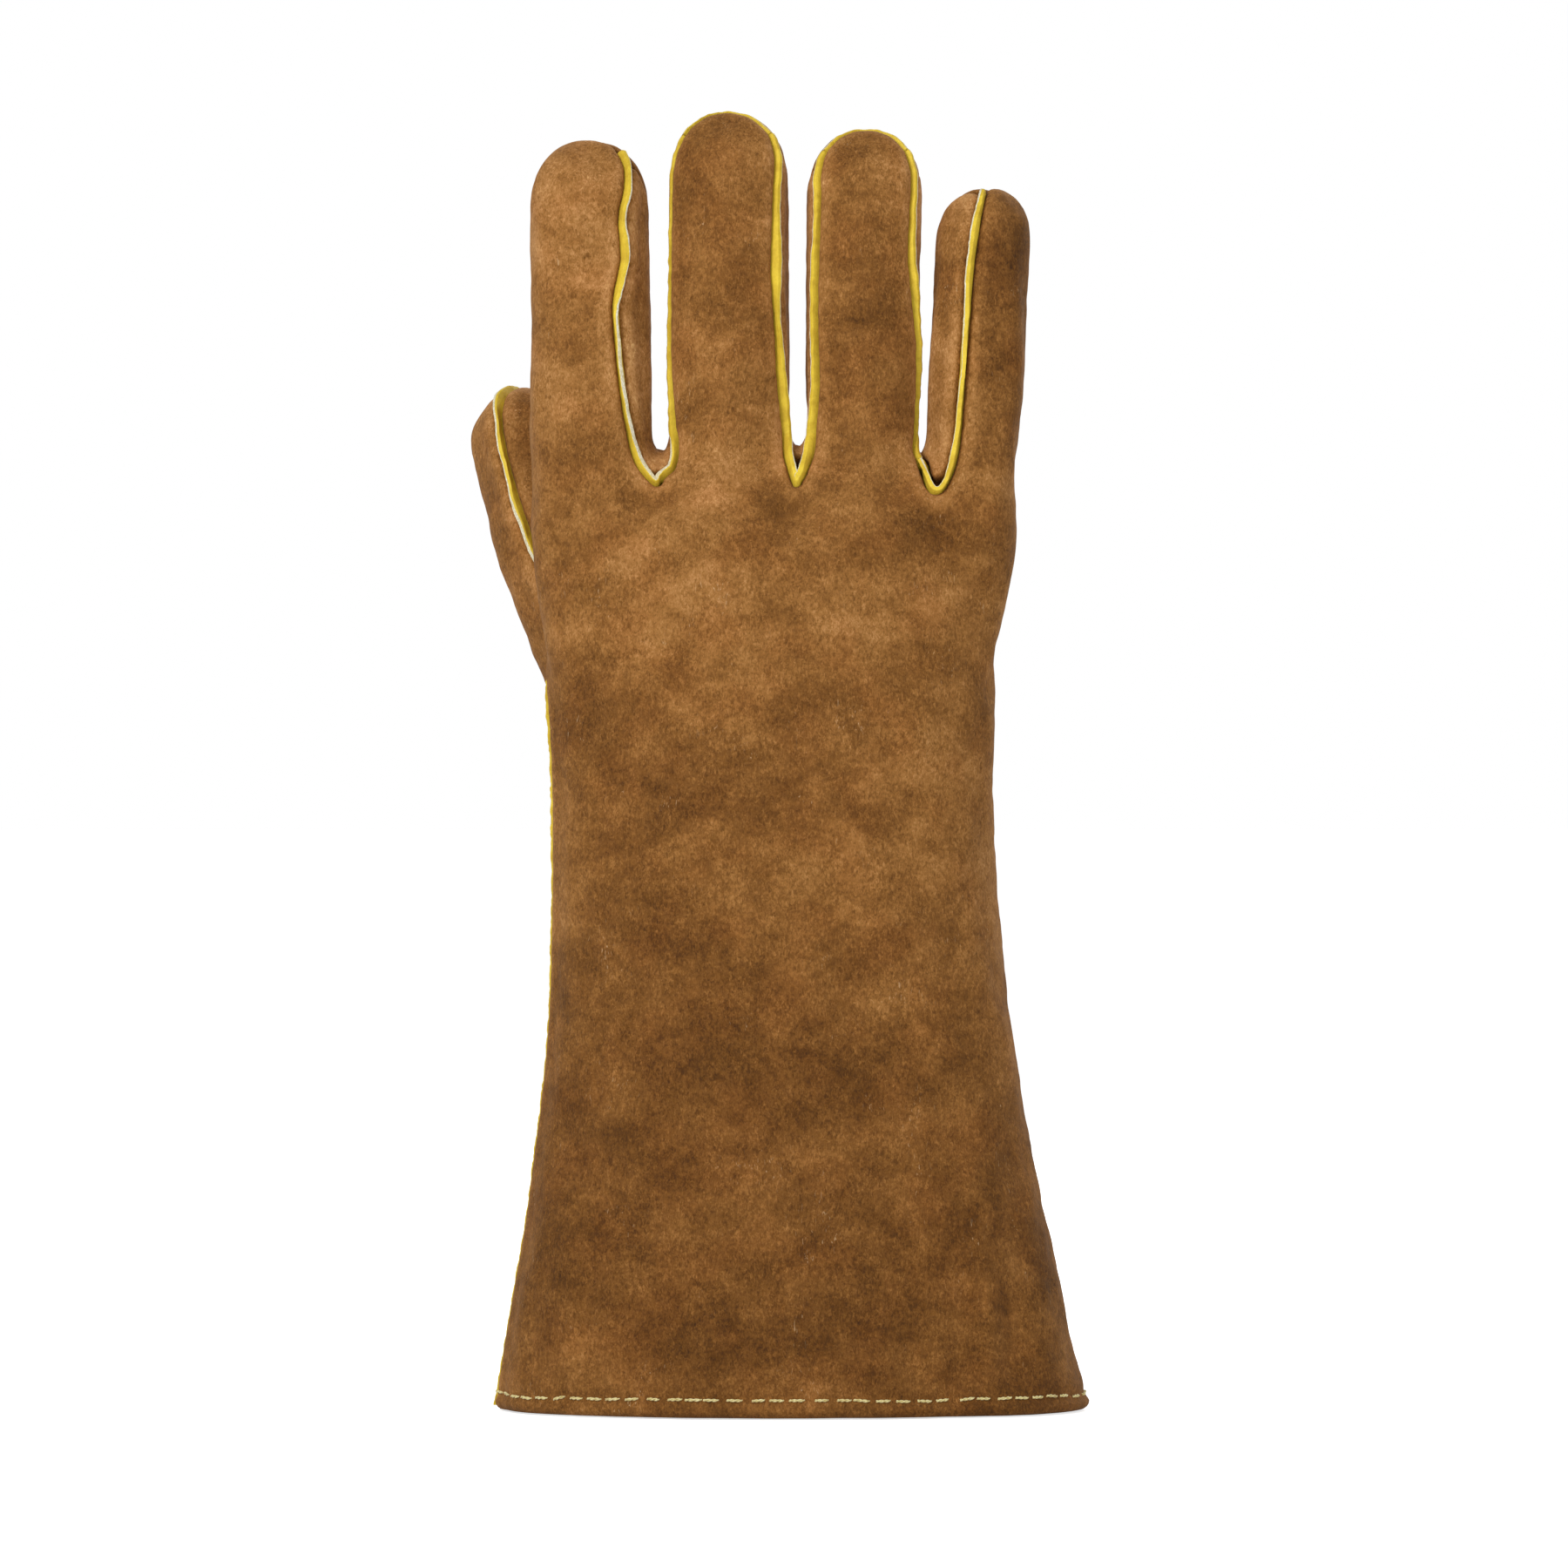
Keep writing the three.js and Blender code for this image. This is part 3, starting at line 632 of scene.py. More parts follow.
def split(sheet, g, snap=0.22):
    """Cuts every triangle along g = 0. Returns the new sheet and each triangle's side, -1 or 1."""
    n, g = len(sheet.points), g.astype(float).copy()
    tri = sheet.triangles
    ends = np.sort(np.vstack([tri[:, [0, 1]], tri[:, [1, 2]], tri[:, [2, 0]]]), axis=1)
    a, b = ends[g[ends[:, 0]] * g[ends[:, 1]] < 0].T
    share = g[a] / (g[a] - g[b])
    near = np.concatenate([share, 1 - share])
    who, other = np.concatenate([a, b]), np.concatenate([b, a])
    order = np.argsort(near, kind="stable")
    order = order[near[order] < snap]
    moved, first = np.unique(who[order], return_index=True)
    chosen = order[first]
    points = sheet.points.copy()
    points[moved] = along_edges(sheet.points, who[chosen], other[chosen], near[chosen])
    values = {}
    for name, value in sheet.values.items():
        values[name] = value.copy()
        values[name][moved] = along_edges(value, who[chosen], other[chosen], near[chosen])
    g[moved] = 0
    key = ends[:, 0].astype(np.int64) * n + ends[:, 1]
    crossing = g[ends[:, 0]] * g[ends[:, 1]] < 0
    unique, inverse = np.unique(key[crossing], return_inverse=True)
    a, b = unique // n, unique % n
    share = g[a] / (g[a] - g[b])
    points = np.vstack([points, along_edges(points, a, b, share)])
    for name, value in values.items():
        values[name] = np.concatenate([value, along_edges(value, a, b, share)])
    at = np.full(len(ends), -1, np.int64)
    at[crossing] = n + inverse.ravel()
    edge = at.reshape(3, -1).T
    sign = np.sign(g)[tri]
    count = (edge >= 0).sum(1)
    whole = count == 0
    parts = [(tri[whole], np.where(sign[whole].sum(1) < 0, -1, 1), sheet.tags[whole])]
    for k in range(3):
        two = (count == 2) & (edge[:, k] >= 0) & (edge[:, k - 1] >= 0)
        i, j, m = (tri[two][:, (k + step) % 3] for step in range(3))
        p, q, alone = edge[two][:, k], edge[two][:, k - 1], sign[two][:, k]
        parts.append((np.stack([i, p, q], -1), alone, sheet.tags[two]))
        parts.append((np.stack([p, j, m], -1), -alone, sheet.tags[two]))
        parts.append((np.stack([p, m, q], -1), -alone, sheet.tags[two]))
        one = (count == 1) & (edge[:, (k + 1) % 3] >= 0)
        i, j, m = (tri[one][:, (k + step) % 3] for step in range(3))
        p = edge[one][:, (k + 1) % 3]
        parts.append((np.stack([i, j, p], -1), sign[one][:, (k + 1) % 3], sheet.tags[one]))
        parts.append((np.stack([i, p, m], -1), sign[one][:, (k + 2) % 3], sheet.tags[one]))
    triangles, side, tags = (np.concatenate([part[k] for part in parts]) for k in range(3))
    return Sheet(points, triangles, values, tags), side


def cut_at(sheet, g):
    """The two parts of a sheet, below and above g = 0."""
    whole, side = split(sheet, g)
    return whole.take(side < 0), whole.take(side > 0)


def ringed(n, m):
    """Triangles of a closed body of n rings of m vertices, and each one's place round its ring.

    The triangles that close its two ends have the place -1.
    """
    cell = (np.arange(n - 1)[:, None] * m + np.arange(m)[None, :]).ravel()
    place = np.tile(np.arange(m), n - 1)
    right = cell - place + (place + 1) % m
    walls = [np.stack([cell, cell + m, right + m], -1), np.stack([cell, right + m, right], -1)]
    cap = np.array([[0, k, k + 1] for k in range(1, m - 1)])
    triangles = np.vstack([*walls, cap, cap[:, ::-1] + (n - 1) * m])
    return triangles, np.concatenate([place, place, np.full(2 * len(cap), -1)])


def normals_of(points, triangles):
    a, b, c = (points[triangles[:, k]] for k in range(3))
    across = np.cross(b - a, c - a)
    total = np.zeros_like(points)
    for k in range(3):
        for axis in range(3):
            total[:, axis] += np.bincount(triangles[:, k], across[:, axis], len(points))
    return total / (np.linalg.norm(total, axis=1, keepdims=True) + 1e-12)


def free_edges(triangles):
    """Directed edges that only one triangle has."""
    ends = np.vstack([triangles[:, [k, (k + 1) % 3]] for k in range(3)]).astype(np.int64)
    size = ends.max() + 1
    return ends[~np.isin(ends[:, 0] * size + ends[:, 1], ends[:, 1] * size + ends[:, 0])]


def components(triangles, count):
    label = np.arange(count)
    a, b = triangles.ravel(), triangles[:, [1, 2, 0]].ravel()
    while True:
        low = np.minimum(label[a], label[b])
        found = label.copy()
        np.minimum.at(found, a, low)
        np.minimum.at(found, b, low)
        found = found[found]
        found = found[found]
        if (found == label).all():
            return label
        label = found


def extrude(sheet, edges, rings):
    """Adds rings of vertices, given as dicts of arrays, outwards from directed free edges."""
    vertices, where = np.unique(edges, return_inverse=True)
    where = where.reshape(-1, 2)
    n, m = len(sheet.points), len(vertices)
    points, triangles = [sheet.points], [sheet.triangles]
    values = {name: [value] for name, value in sheet.values.items()}
    last = vertices[where]
    for k, ring in enumerate(rings):
        index = n + k * m + where
        triangles.append(np.stack([last[:, 1], last[:, 0], index[:, 0]], -1))
        triangles.append(np.stack([last[:, 1], index[:, 0], index[:, 1]], -1))
        points.append(ring["points"])
        for name in values:
            values[name].append(ring.get(name, sheet.values[name][vertices]))
        last = index
    triangles = np.vstack(triangles)
    tags = np.concatenate([sheet.tags, np.zeros(len(triangles) - len(sheet.tags), np.int32)])
    values = {name: np.concatenate(parts) for name, parts in values.items()}
    return Sheet(np.vstack(points), triangles, values, tags)


def thicken(sheet, thickness):
    """A closed body between the sheet and its copy moved inwards along the normals."""
    n = len(sheet.points)
    inner = sheet.points - thickness * sheet.values["normal"]
    edges = free_edges(sheet.triangles)
    a, b = edges.T
    rim = np.vstack([np.stack([b, a, a + n], -1), np.stack([b, a + n, b + n], -1)])
    triangles = np.vstack([sheet.triangles, sheet.triangles[:, ::-1] + n, rim])
    values = {name: np.concatenate([value, value]) for name, value in sheet.values.items()}
    values["normal"][n:] *= -1
    tags = np.concatenate([sheet.tags, sheet.tags, np.zeros(len(rim), np.int32)])
    return Sheet(np.vstack([sheet.points, inner]), triangles, values, tags)


# ---- How far the seams are, and the leather's relief ----


class SeamMap:
    """Nearest seams: how far away the sewn edge is, which way, and how far along the seam."""

    def __init__(self, seams):
        self.sets = []
        for width in (WELT_WIDTH, PLAIN_SEAM_WIDTH):
            lines = [line for line, w in seams.values() if w == width]
            points = np.vstack(lines)
            tree = kdtree.KDTree(len(points))
            for i, point in enumerate(points):
                tree.insert(point, i)
            tree.balance()
            self.sets.append((tree, points, width / 2))

    def near(self, p):
        away = np.full(len(p), 1e9)
        towards = np.zeros_like(p)
        along = np.zeros(len(p))
        for tree, points, half in self.sets:
            found = [tree.find(point)[1:] for point in p]
            index = np.array([f[0] for f in found])
            distance = np.array([f[1] for f in found]) - half
            closer = distance < away
            away[closer] = distance[closer]
            towards[closer] = (points[index] - p)[closer]
            along[closer] = index[closer] * SEAM_STEP
        return away, towards / (np.linalg.norm(towards, axis=1, keepdims=True) + 1e-9), along


def smoothstep(value, low, high):
    t = np.clip((value - low) / (high - low), 0, 1)
    return t * t * (3 - 2 * t)


HEM_RADIUS = 2.3
HEM_STITCH_HEIGHT = 4.8
HEM_UP = 11.0  # how far the hem's fold goes up inside
PUCKER_PITCH = 6.5  # spacing of the puckers along a seam
TIGHTER = 0.45  # the relief's middle lies this far under the plain skin
# The leather's free undulation: wavelength, seed, height, number of waves
SWELLS = [(62, 11, 0.75, 12), (30, 12, 0.4, 12), (12, 13, 0.16, 20)]
ROW_PITCH = 15  # spacing of the folds across the wrist
TURN_PITCH = 17  # spacing of the folds that rise from the hem


def relief(p, normal, away, along):
    """How far the leather stands out of, or sinks into, the plain skin."""
    away = np.maximum(away, 0)
    x, _, z = p.T
    free = 0.25 + 0.75 * smoothstep(away, 1, 16)
    out = free * sum(
        height * ripples(p, length, seed, waves=waves) for length, seed, height, waves in SWELLS
    )
    out += 0.07 * ripples(p, 5.5, 14, waves=24) * smoothstep(away, 2, 8)
    out += 0.45 * bump(away - 3.0, 2.4) - 0.4 * bump(away - 8.5, 4.0)
    out += 0.09 * np.sin(along * TAU / PUCKER_PITCH + 2 * ripples(p, 40, 15)) * np.exp(-away / 3.2)
    back = np.clip(-normal[:, 1], 0, 1)
    palm = np.clip(normal[:, 1], 0, 1)
    for k, (aside, drop) in enumerate(VEE):
        middle = vee_middle(k, aside)
        out -= 1.7 * back * bump(x - middle, 7) * bump(z - (TRUNK.top - drop - 8), 8)
        out += 0.9 * back * bump(x - middle - 15, 9) * bump(z - (TRUNK.top - 4), 16)
    wrist = JOINTS["wrist_bend"][2]
    flat = (back + palm) ** 2
    rows = np.sin(TAU * (z + 5 * ripples(p, 60, 16)) / ROW_PITCH)
    out += 0.32 * rows * bump(z - wrist - 45, 38) * free * flat
    turns = np.sin(TAU * (x + 4 * ripples(p, 70, 17, stretch=(1, 1, 3))) / TURN_PITCH)
    turns *= (0.3 + 0.9 * smoothstep(x, 20, 60)) * smoothstep(z, 3, 16)
    out += turns * bump(z - 20, 34) * free * flat
    wander = 1.6 * ripples(p, 26, 18)
    for body in BODY.values():
        cx = body.sizes(z)[0]
        own = (np.abs(x - cx) < body.half[0] + 3) * (z > body.root)
        for height, deep in ((body.knuckle - 3, 0.7), (body.bend, 0.9)):
            wave = z - height - wander
            crease = bump(wave, 2.0) - 0.5 * bump(wave - 6, 4) - 0.5 * bump(wave + 6, 4)
            out -= own * deep * palm * crease
    out -= 0.6 * bump(z - HEM_STITCH_HEIGHT, 1.5) * (1 - bump(away, 2.5))
    out += 0.25 * bump(z - 1, 2.2)
    return out - TIGHTER


# ---- The leather's panels ----


def bare_skin():
    """The whole outer skin as one sheet."""
    values, low = sample_grid()
    vertices, quads = surface_net(values, low, CELL)
    vertices = relax(vertices, quads)
    return Sheet(vertices, triangles_of(vertices, quads))


def with_relief(sheet, seams):
    """The skin with its relief, and at each vertex the normal, the seam's distance and direction."""
    smooth = normals_of(sheet.points, sheet.triangles)
    away, towards, along = seams.near(sheet.points)
    out = relief(sheet.points, smooth, away, along)
    points = sheet.points + smooth * out[:, None]
    values = {"normal": normals_of(points, sheet.triangles), "away": away, "towards": towards}
    values["folded"] = np.zeros(len(points))
    return Sheet(points, sheet.triangles, values)


def fold_hem(sheet):
    """Cuts the skin above the floor and turns its edge in and up, as the sewn hem is."""
    sheet = cut_at(sheet, sheet.points[:, 2] - HEM_RADIUS)[1]
    edges = free_edges(sheet.triangles)
    vertices = np.unique(edges)
    start, normal = sheet.points[vertices], sheet.values["normal"][vertices].copy()
    normal[:, 2] = 0
    normal /= np.linalg.norm(normal, axis=1, keepdims=True)
    down = np.array([0, 0, -1.0])
    rings = []
    for turn in np.radians(np.linspace(22.5, 180, 8)):
        place = start + HEM_RADIUS * (down * math.sin(turn) - normal * (1 - math.cos(turn)))
        folded = np.full(len(start), turn / math.pi)
        facing = normal * math.cos(turn) + down * math.sin(turn)
        rings.append({"points": place, "normal": facing, "folded": folded})
    for rise in np.arange(1, 5) * HEM_UP / 4:
        wave = 0.3 * ripples(start, 20, 21) * rise / HEM_UP
        place = start - normal * 2 * HEM_RADIUS - down * rise
        for _ in range(3):
            facing = slope(place)
            place = place - facing * (skin(place) + 2 * HEM_RADIUS + TIGHTER + wave)[:, None]
        rings.append({"points": place, "normal": -facing, "folded": np.ones(len(start))})
    return extrude(sheet, edges, rings)


def roll_edges(panel):
    """Turns a panel's sewn edges down into their seams."""
    edges = free_edges(panel.triangles)
    sewn = np.abs(panel.values["away"][edges] - EDGE_ROLL).max(1) < 1e-6
    sewn &= panel.values["folded"][edges].max(1) < 0.6
    edges = edges[sewn]
    vertices, where = np.unique(edges, return_inverse=True)
    a, b = where.reshape(-1, 2).T
    start = panel.points[vertices]
    normal, towards = (panel.values[name][vertices] for name in ("normal", "towards"))
    for _ in range(3):
        towards = towards - normal * (towards * normal).sum(1, keepdims=True)
        towards /= np.linalg.norm(towards, axis=1, keepdims=True) + 1e-9
        spread = towards.copy()
        np.add.at(spread, a, towards[b])
        np.add.at(spread, b, towards[a])
        towards = spread
    towards /= np.linalg.norm(towards, axis=1, keepdims=True) + 1e-9
    rings = []
    for k in range(1, ROLL_STEPS + 1):
        turn = math.radians(90 * k / ROLL_STEPS)
        place = start + EDGE_ROLL * (towards * math.sin(turn) - normal * (1 - math.cos(turn)))
        facing = normal * math.cos(turn) + towards * math.sin(turn)
        away = np.full(len(vertices), EDGE_ROLL * (1 - k / ROLL_STEPS))
        rings.append({"points": place, "normal": facing, "away": away})
    flange = EDGE_FLANGE + DEEPER * smoothstep(start[:, 2], 60, 120)
    end = rings[-1]["points"] - normal * flange[:, None]
    rings.append({"points": end, "normal": towards, "away": np.full(len(vertices), -1.0)})
    return extrude(panel, edges, rings)


def probes():
    """A point on each panel, by which the cut pieces of skin are told apart."""
    found = {"back": trunk_point(120, 90), "palm": trunk_point(120, -90)}
    for k in range(3):
        left = BODY[FINGERS[k]]
        found[f"fourchette_{k}"] = left.point(left.root + 25, 0 if k else 22)
    centre, side, back, _ = THUMB.frame_at(np.array(0.75 * THUMB.length))
    for name, angle in (("thumb_outer", 211), ("thumb_inner", 31)):
        around = side * math.cos(math.radians(angle)) + back * math.sin(math.radians(angle))
        found[name] = centre + THUMB.radius * around
    return found


def cut_panels(sheet):
    """The leather panels, with rolled edges and the leather's thickness, by name."""
    kept = cut_at(sheet, sheet.values["away"] - EDGE_ROLL)[1]
    label = components(kept.triangles, len(kept.points))
    panels = {}
    for name, point in probes().items():
        nearest = np.argmin(np.linalg.norm(kept.points - point, axis=1))
        faces = label[kept.triangles[:, 0]] == label[nearest]
        panels[name] = thicken(roll_edges(kept.take(faces)), LEATHER)
    return panels


# ---- Parting by body ----


def gap_x(k, z):
    """The x halfway between finger k and the next one."""
    left, right = BODY[FINGERS[k]], BODY[FINGERS[k + 1]]
    lx, _, la, _ = left.sizes(z)
    rx, _, ra, _ = right.sizes(z)
    return (lx + la + rx - ra) / 2


def web_top():
    """The height at which every finger stands clear of its neighbours."""
    heights = np.arange(TRUNK.top - 6, TRUNK.top + 14, 0.25)
    top = 0
    for k in range(3):
        for aside in (-0.5, 0, 0.5):
            x = gap_x(k, heights) + aside
            lines = np.stack([x, 0 * x + TRUNK.sizes(TRUNK.top)[1], heights], -1)
            top = max(top, heights[skin(lines) < 0].max())
    return top


ROOT_CUT = web_top() + 2.2
TIP_CUT = {name: (BODY[name].knuckle + BODY[name].bend) / 2 for name in FINGERS}


def by_finger(sheet):
    """A sheet's parts: 'hand' up to the fingers' roots, then (finger, 'base'), (finger, 'tip')."""
    parts = {}
    hand, above = cut_at(sheet, sheet.points[:, 2] - ROOT_CUT)
    if len(hand.triangles):
        parts["hand"] = hand
    if not len(above.triangles):
        return parts
    centre = above.centres()
    number = sum((centre[:, 0] > gap_x(k, centre[:, 2])).astype(int) for k in range(3))
    for k, name in enumerate(FINGERS):
        if (number == k).any():
            finger = above.take(number == k)
            base, tip = cut_at(finger, finger.points[:, 2] - TIP_CUT[name])
            if len(base.triangles):
                parts[name, "base"] = base
            if len(tip.triangles):
                parts[name, "tip"] = tip
    return parts


THUMB_UP = THUMB.frame_at(np.array(0.6 * THUMB.length))[3]
THUMB_AXIS_POINT = JOINTS["thumb_middle_bend"]
THUMB_CUT = -1.0  # the thumb parts this far along its axis from its bend


def along_thumb(p):
    return (p - THUMB_AXIS_POINT) @ THUMB_UP


def thumb_root(ring, section):
    """The two points between which the leather goes over from the hand's body to the thumb's.

    The direction between them is square to the plane of the thumb's ring seam.
    """
    out = np.linalg.svd(ring - ring.mean(0))[2][2]
    out = out if out @ THUMB_UP > 0 else -out
    first = ((ring - THUMB_AXIS_POINT) @ out).max() + EDGE_ROLL
    last = ((section - THUMB_AXIS_POINT) @ out).min()
    return [tuple((THUMB_AXIS_POINT + out * far) * MM) for far in (first, max(last, first + 3))]


def thumb_section():
    """The thumb's surface where it is parted."""
    run = THUMB.bend_run + THUMB_CUT
    centre, side, back, _ = THUMB.frame_at(np.array(run))
    turn = np.linspace(0, TAU, 48)[:, None]
    return centre + THUMB.radius_at(run) * (side * np.cos(turn) + back * np.sin(turn))


def by_thumb(sheet):
    base, tip = cut_at(sheet, along_thumb(sheet.points) - THUMB_CUT)
    return {("thumb", "base"): base, ("thumb", "tip"): tip}


# ---- Welts ----

WELT_BASE = -3.4  # height of the strip's lower edge, under the leather's surface
WELT_RISE = 1.4
WELT_FOOT = 2.3  # how many times wider the strip is where it lies under the panels
# How far each gap's welt stands out, from the left finger's tip by the crotch to the right one's
GAP_RISES = [
    (1.3, 1.5, 1.5, 1.0, 0.45, 0.3),
    (0.7, 1.6, 1.8, 1.4, 1.2, 0.6),
    (0.7, 1.2, 0.9, 1.3, 1.6, 1.4),
]
TIP_RISES = (0.45, 0.3, 0.3, 0.3, 0.6)
SIDE_RISES = (0.35, 0.3, 0.45, 0.8)
THUMB_RISES = (1.2, 1.7, 1.5)
# How much of the top is the raw edge, likewise: from all yellow (-0.84) to all cream (0.84)
RAW_EDGES = [
    (-0.6, -0.1, -0.5, 0.5, 0.7, 0.4, -0.3, 0.0, -0.2, -0.5, -0.6),
    (-0.5, -0.4, -0.5, -0.4, -0.45, -0.5),
    (-0.4, -0.2, -0.45, -0.6, -0.4, -0.2),
]
THUMB_RAW_EDGE = (0.3, 0.4, 0.3, -0.5, 0.2, 0.1)
WELT_END = 1.0  # over this length a sinking end dips away
SUNK = -1.2  # how high a welt's sinking end comes
RAW_ROWS = (5, 6)  # the rows of a welt's profile between which its raw edge lies
YELLOW, CREAM = 0, 1


def welt(line, seed, seams, rises=(WELT_RISE, WELT_RISE), sinks=(True, True), raw=(0.2, -0.3)):
    """A strip of leather standing in a seam: yellow faces, and a raw cream edge on top.

    It stands as high as rises says, from the line's start to its end; raw says likewise how far its
    raw edge shows, and sinks says which of its ends dip away.
    """
    smooth = slope(line)
    away, _, along = seams.near(line)
    base = line + smooth * relief(line, smooth, away, along)[:, None]
    ahead = np.gradient(base, axis=0)
    for _ in range(4):
        ahead[1:-1] = (ahead[:-2] + ahead[1:-1] * 2 + ahead[2:]) / 4
    side = np.cross(ahead, smooth)
    side /= np.linalg.norm(side, axis=1, keepdims=True)
    run = np.arange(len(line)) * SEAM_STEP
    at = np.stack([run, 0 * run + seed * 37.0, 0 * run], -1)
    lean = 0.36 * ripples(at, 46, 31 + seed) + 0.16 * ripples(at, 15, 32 + seed)
    rise = np.interp(run / run[-1], np.linspace(0, 1, len(rises)), rises)
    height = rise * (1 + 0.13 * ripples(at, 24, 33 + seed))
    swell = 1 + 0.08 * ripples(at, 13, 34 + seed)
    frayed = 0.07 * ripples(at, 1.9, 35 + seed, waves=24)
    ends = np.minimum(run if sinks[0] else 99, run[-1] - run if sinks[1] else 99)
    height = height - (height - SUNK) * (1 - smoothstep(ends, 0, WELT_END))
    half = WELT_WIDTH / 2 * swell
    raw_to = np.interp(run / run[-1], np.linspace(0, 1, len(raw)), raw)
    raw_to = np.clip(raw_to + 0.14 * ripples(at, 13, 36 + seed), -0.7, 0.7)
    # Each row: share of the half width, and share of the way up from the seam's floor to the top
    profile = [(-WELT_FOOT, None), (-1, 0.0), (-1, 0.35), (-0.98, 0.7), (-0.93, 0.93), (-0.84, 1.0)]
    profile += [((raw_to - 0.84) / 2, 1.03), (raw_to, 1.03)] + [(-a, b) for a, b in profile[::-1]]
    rows = []
    for across, up in profile:
        lift = np.full(len(line), WELT_BASE) if up is None else SUNK + (height - SUNK) * up
        tilt = 0 * run if up is None else lean * np.maximum(lift, 0) * 0.9
        edge = frayed * (1 if up is not None and up > 0.9 else 0)
        aside, out = half * across + tilt + edge, lift + edge
        rows.append(base + side * aside[:, None] + smooth * out[:, None])
    grid = np.stack(rows, 1)
    n, m = grid.shape[:2]
    triangles, place = ringed(n, m)
    tags = np.where((place >= RAW_ROWS[0]) & (place <= RAW_ROWS[1]), CREAM, YELLOW)
    sheet = Sheet(grid.reshape(-1, 3), triangles, {}, tags)
    normal = normals_of(sheet.points, triangles)
    on_top = normal.reshape(n, m, 3)[n // 2, RAW_ROWS[1]]
    if (on_top * smooth[n // 2]).sum() < 0:
        sheet.triangles = sheet.triangles[:, ::-1]
        normal = -normal
    sheet.values = {"normal": normal, "away": np.zeros(len(normal))}
    return sheet


# ---- Backing strips ----

BACKING = 0.6
BACKING_DEPTH = 3.7
BACKING_HALF = 4.2  # half width of a strip between two fingers
RING_BACKING_HALF = 6.0  # half width of the strip round the thumb's root


def backing(line, half):
    """A thin strip of leather sewn behind a seam, which closes the seam's corners from within."""
    smooth = slope(line)
    side = np.cross(np.gradient(line, axis=0), smooth)
    side /= np.linalg.norm(side, axis=1, keepdims=True)
    rows = [line + side * across - smooth * BACKING_DEPTH for across in (-half, 0, half)]
    points = np.stack(rows, 1).reshape(-1, 3)
    a = (np.arange(len(line) - 1)[:, None] * 3 + np.arange(2)).ravel()
    triangles = np.vstack([np.stack([a, a + 1, a + 3], -1), np.stack([a + 1, a + 4, a + 3], -1)])
    flat = np.zeros(len(points))
    values = {"normal": np.repeat(smooth, 3, axis=0), "towards": np.zeros_like(points)}
    values.update({"away": flat, "folded": flat})
    return thicken(Sheet(points, triangles, values), BACKING)


# ---- Linings ----

LINING_DEPTH = 4.6  # how far under the outer surface the lining lies
UNDER_HEM_DEPTH = 2.3  # how much nearer it lies where the hem holds it
LINING_FOOT = 5.5  # height of the lining's lower edge, inside the folded hem
LINING = 1.2
LINING_CELL = 3.0


def lining(distance, low, high, depth):
    """A soft inner skin: the surface this deep under the zero of a distance function."""
    axes = [np.arange(a, b, LINING_CELL) for a, b in zip(low, high)]
    points = np.stack(np.meshgrid(*axes, indexing="ij"), -1)
    flat = points.reshape(-1, 3)
    values = distance(flat) + depth(flat) + 0.35 * ripples(flat, 34, 41)
    vertices, quads = surface_net(values.reshape(points.shape[:3]), np.array(low), LINING_CELL)
    for _ in range(3):
        vertices = towards_neighbours(vertices, quads, 0.5)
    sheet = Sheet(vertices, triangles_of(vertices, quads))
    far = np.full(len(vertices), 20.0)
    sheet.values = {"normal": normals_of(vertices, sheet.triangles), "away": far}
    return sheet


def body_lining_depth(p):
    return LINING_DEPTH - UNDER_HEM_DEPTH * (1 - smoothstep(p[:, 2], 13, 34))


def thumb_lining_depth(p):
    return np.full(len(p), LINING_DEPTH)


def linings():
    """The lining of the cuff, hand and fingers, and the lining of the thumb."""
    cx, cy, a, b = TRUNK.sizes(0)
    low = (cx - a - 4, cy - b - 4, -1)
    high = (cx + a + 4, cy + b + 4, BODY["middle"].top + 3)
    body = lining(trunk_and_fingers, low, high, body_lining_depth)
    body = cut_at(body, body.points[:, 2] - LINING_FOOT)[1]
    thumb = lining(THUMB.distance, THUMB.low, THUMB.high, thumb_lining_depth)
    inside = trunk_and_fingers(thumb.points) + LINING_DEPTH + LINING
    thumb = cut_at(thumb, inside)[1]
    return thicken(body, LINING), thicken(thumb, LINING)


# ---- Hem stitches ----

STITCH_PITCH = 5.7
STITCH_LENGTH = 4.5
THREAD = 0.25  # radius of one of the thread's two strands
STRAND_SIDES = 6
STRAND_STEPS = 14


def tube(path, radius):
    """A closed round tube along a path, as a sheet."""
    ahead = np.gradient(path, axis=0)
    ahead /= np.linalg.norm(ahead, axis=1, keepdims=True)
    side = np.cross(ahead, [0.3, 0.2, 0.93])
    side /= np.linalg.norm(side, axis=1, keepdims=True)
    other = np.cross(ahead, side)
    turn = np.linspace(0, TAU, STRAND_SIDES, endpoint=False)
    share = np.linspace(-1, 1, len(path))
    size = radius * np.sqrt(np.maximum(1 - np.abs(share) ** 6, 0.04))
    c, s = np.cos(turn)[None, :, None], np.sin(turn)[None, :, None]
    around = side[:, None] * c + other[:, None] * s
    points = (path[:, None] + around * size[:, None, None]).reshape(-1, 3)
    triangles = ringed(len(path), STRAND_SIDES)[0][:, ::-1]
    if np.cross(ahead[0], side[0]) @ other[0] < 0:
        triangles = triangles[:, ::-1]
    values = {"normal": around.reshape(-1, 3), "away": np.zeros(len(points))}
    return Sheet(points, triangles, values)


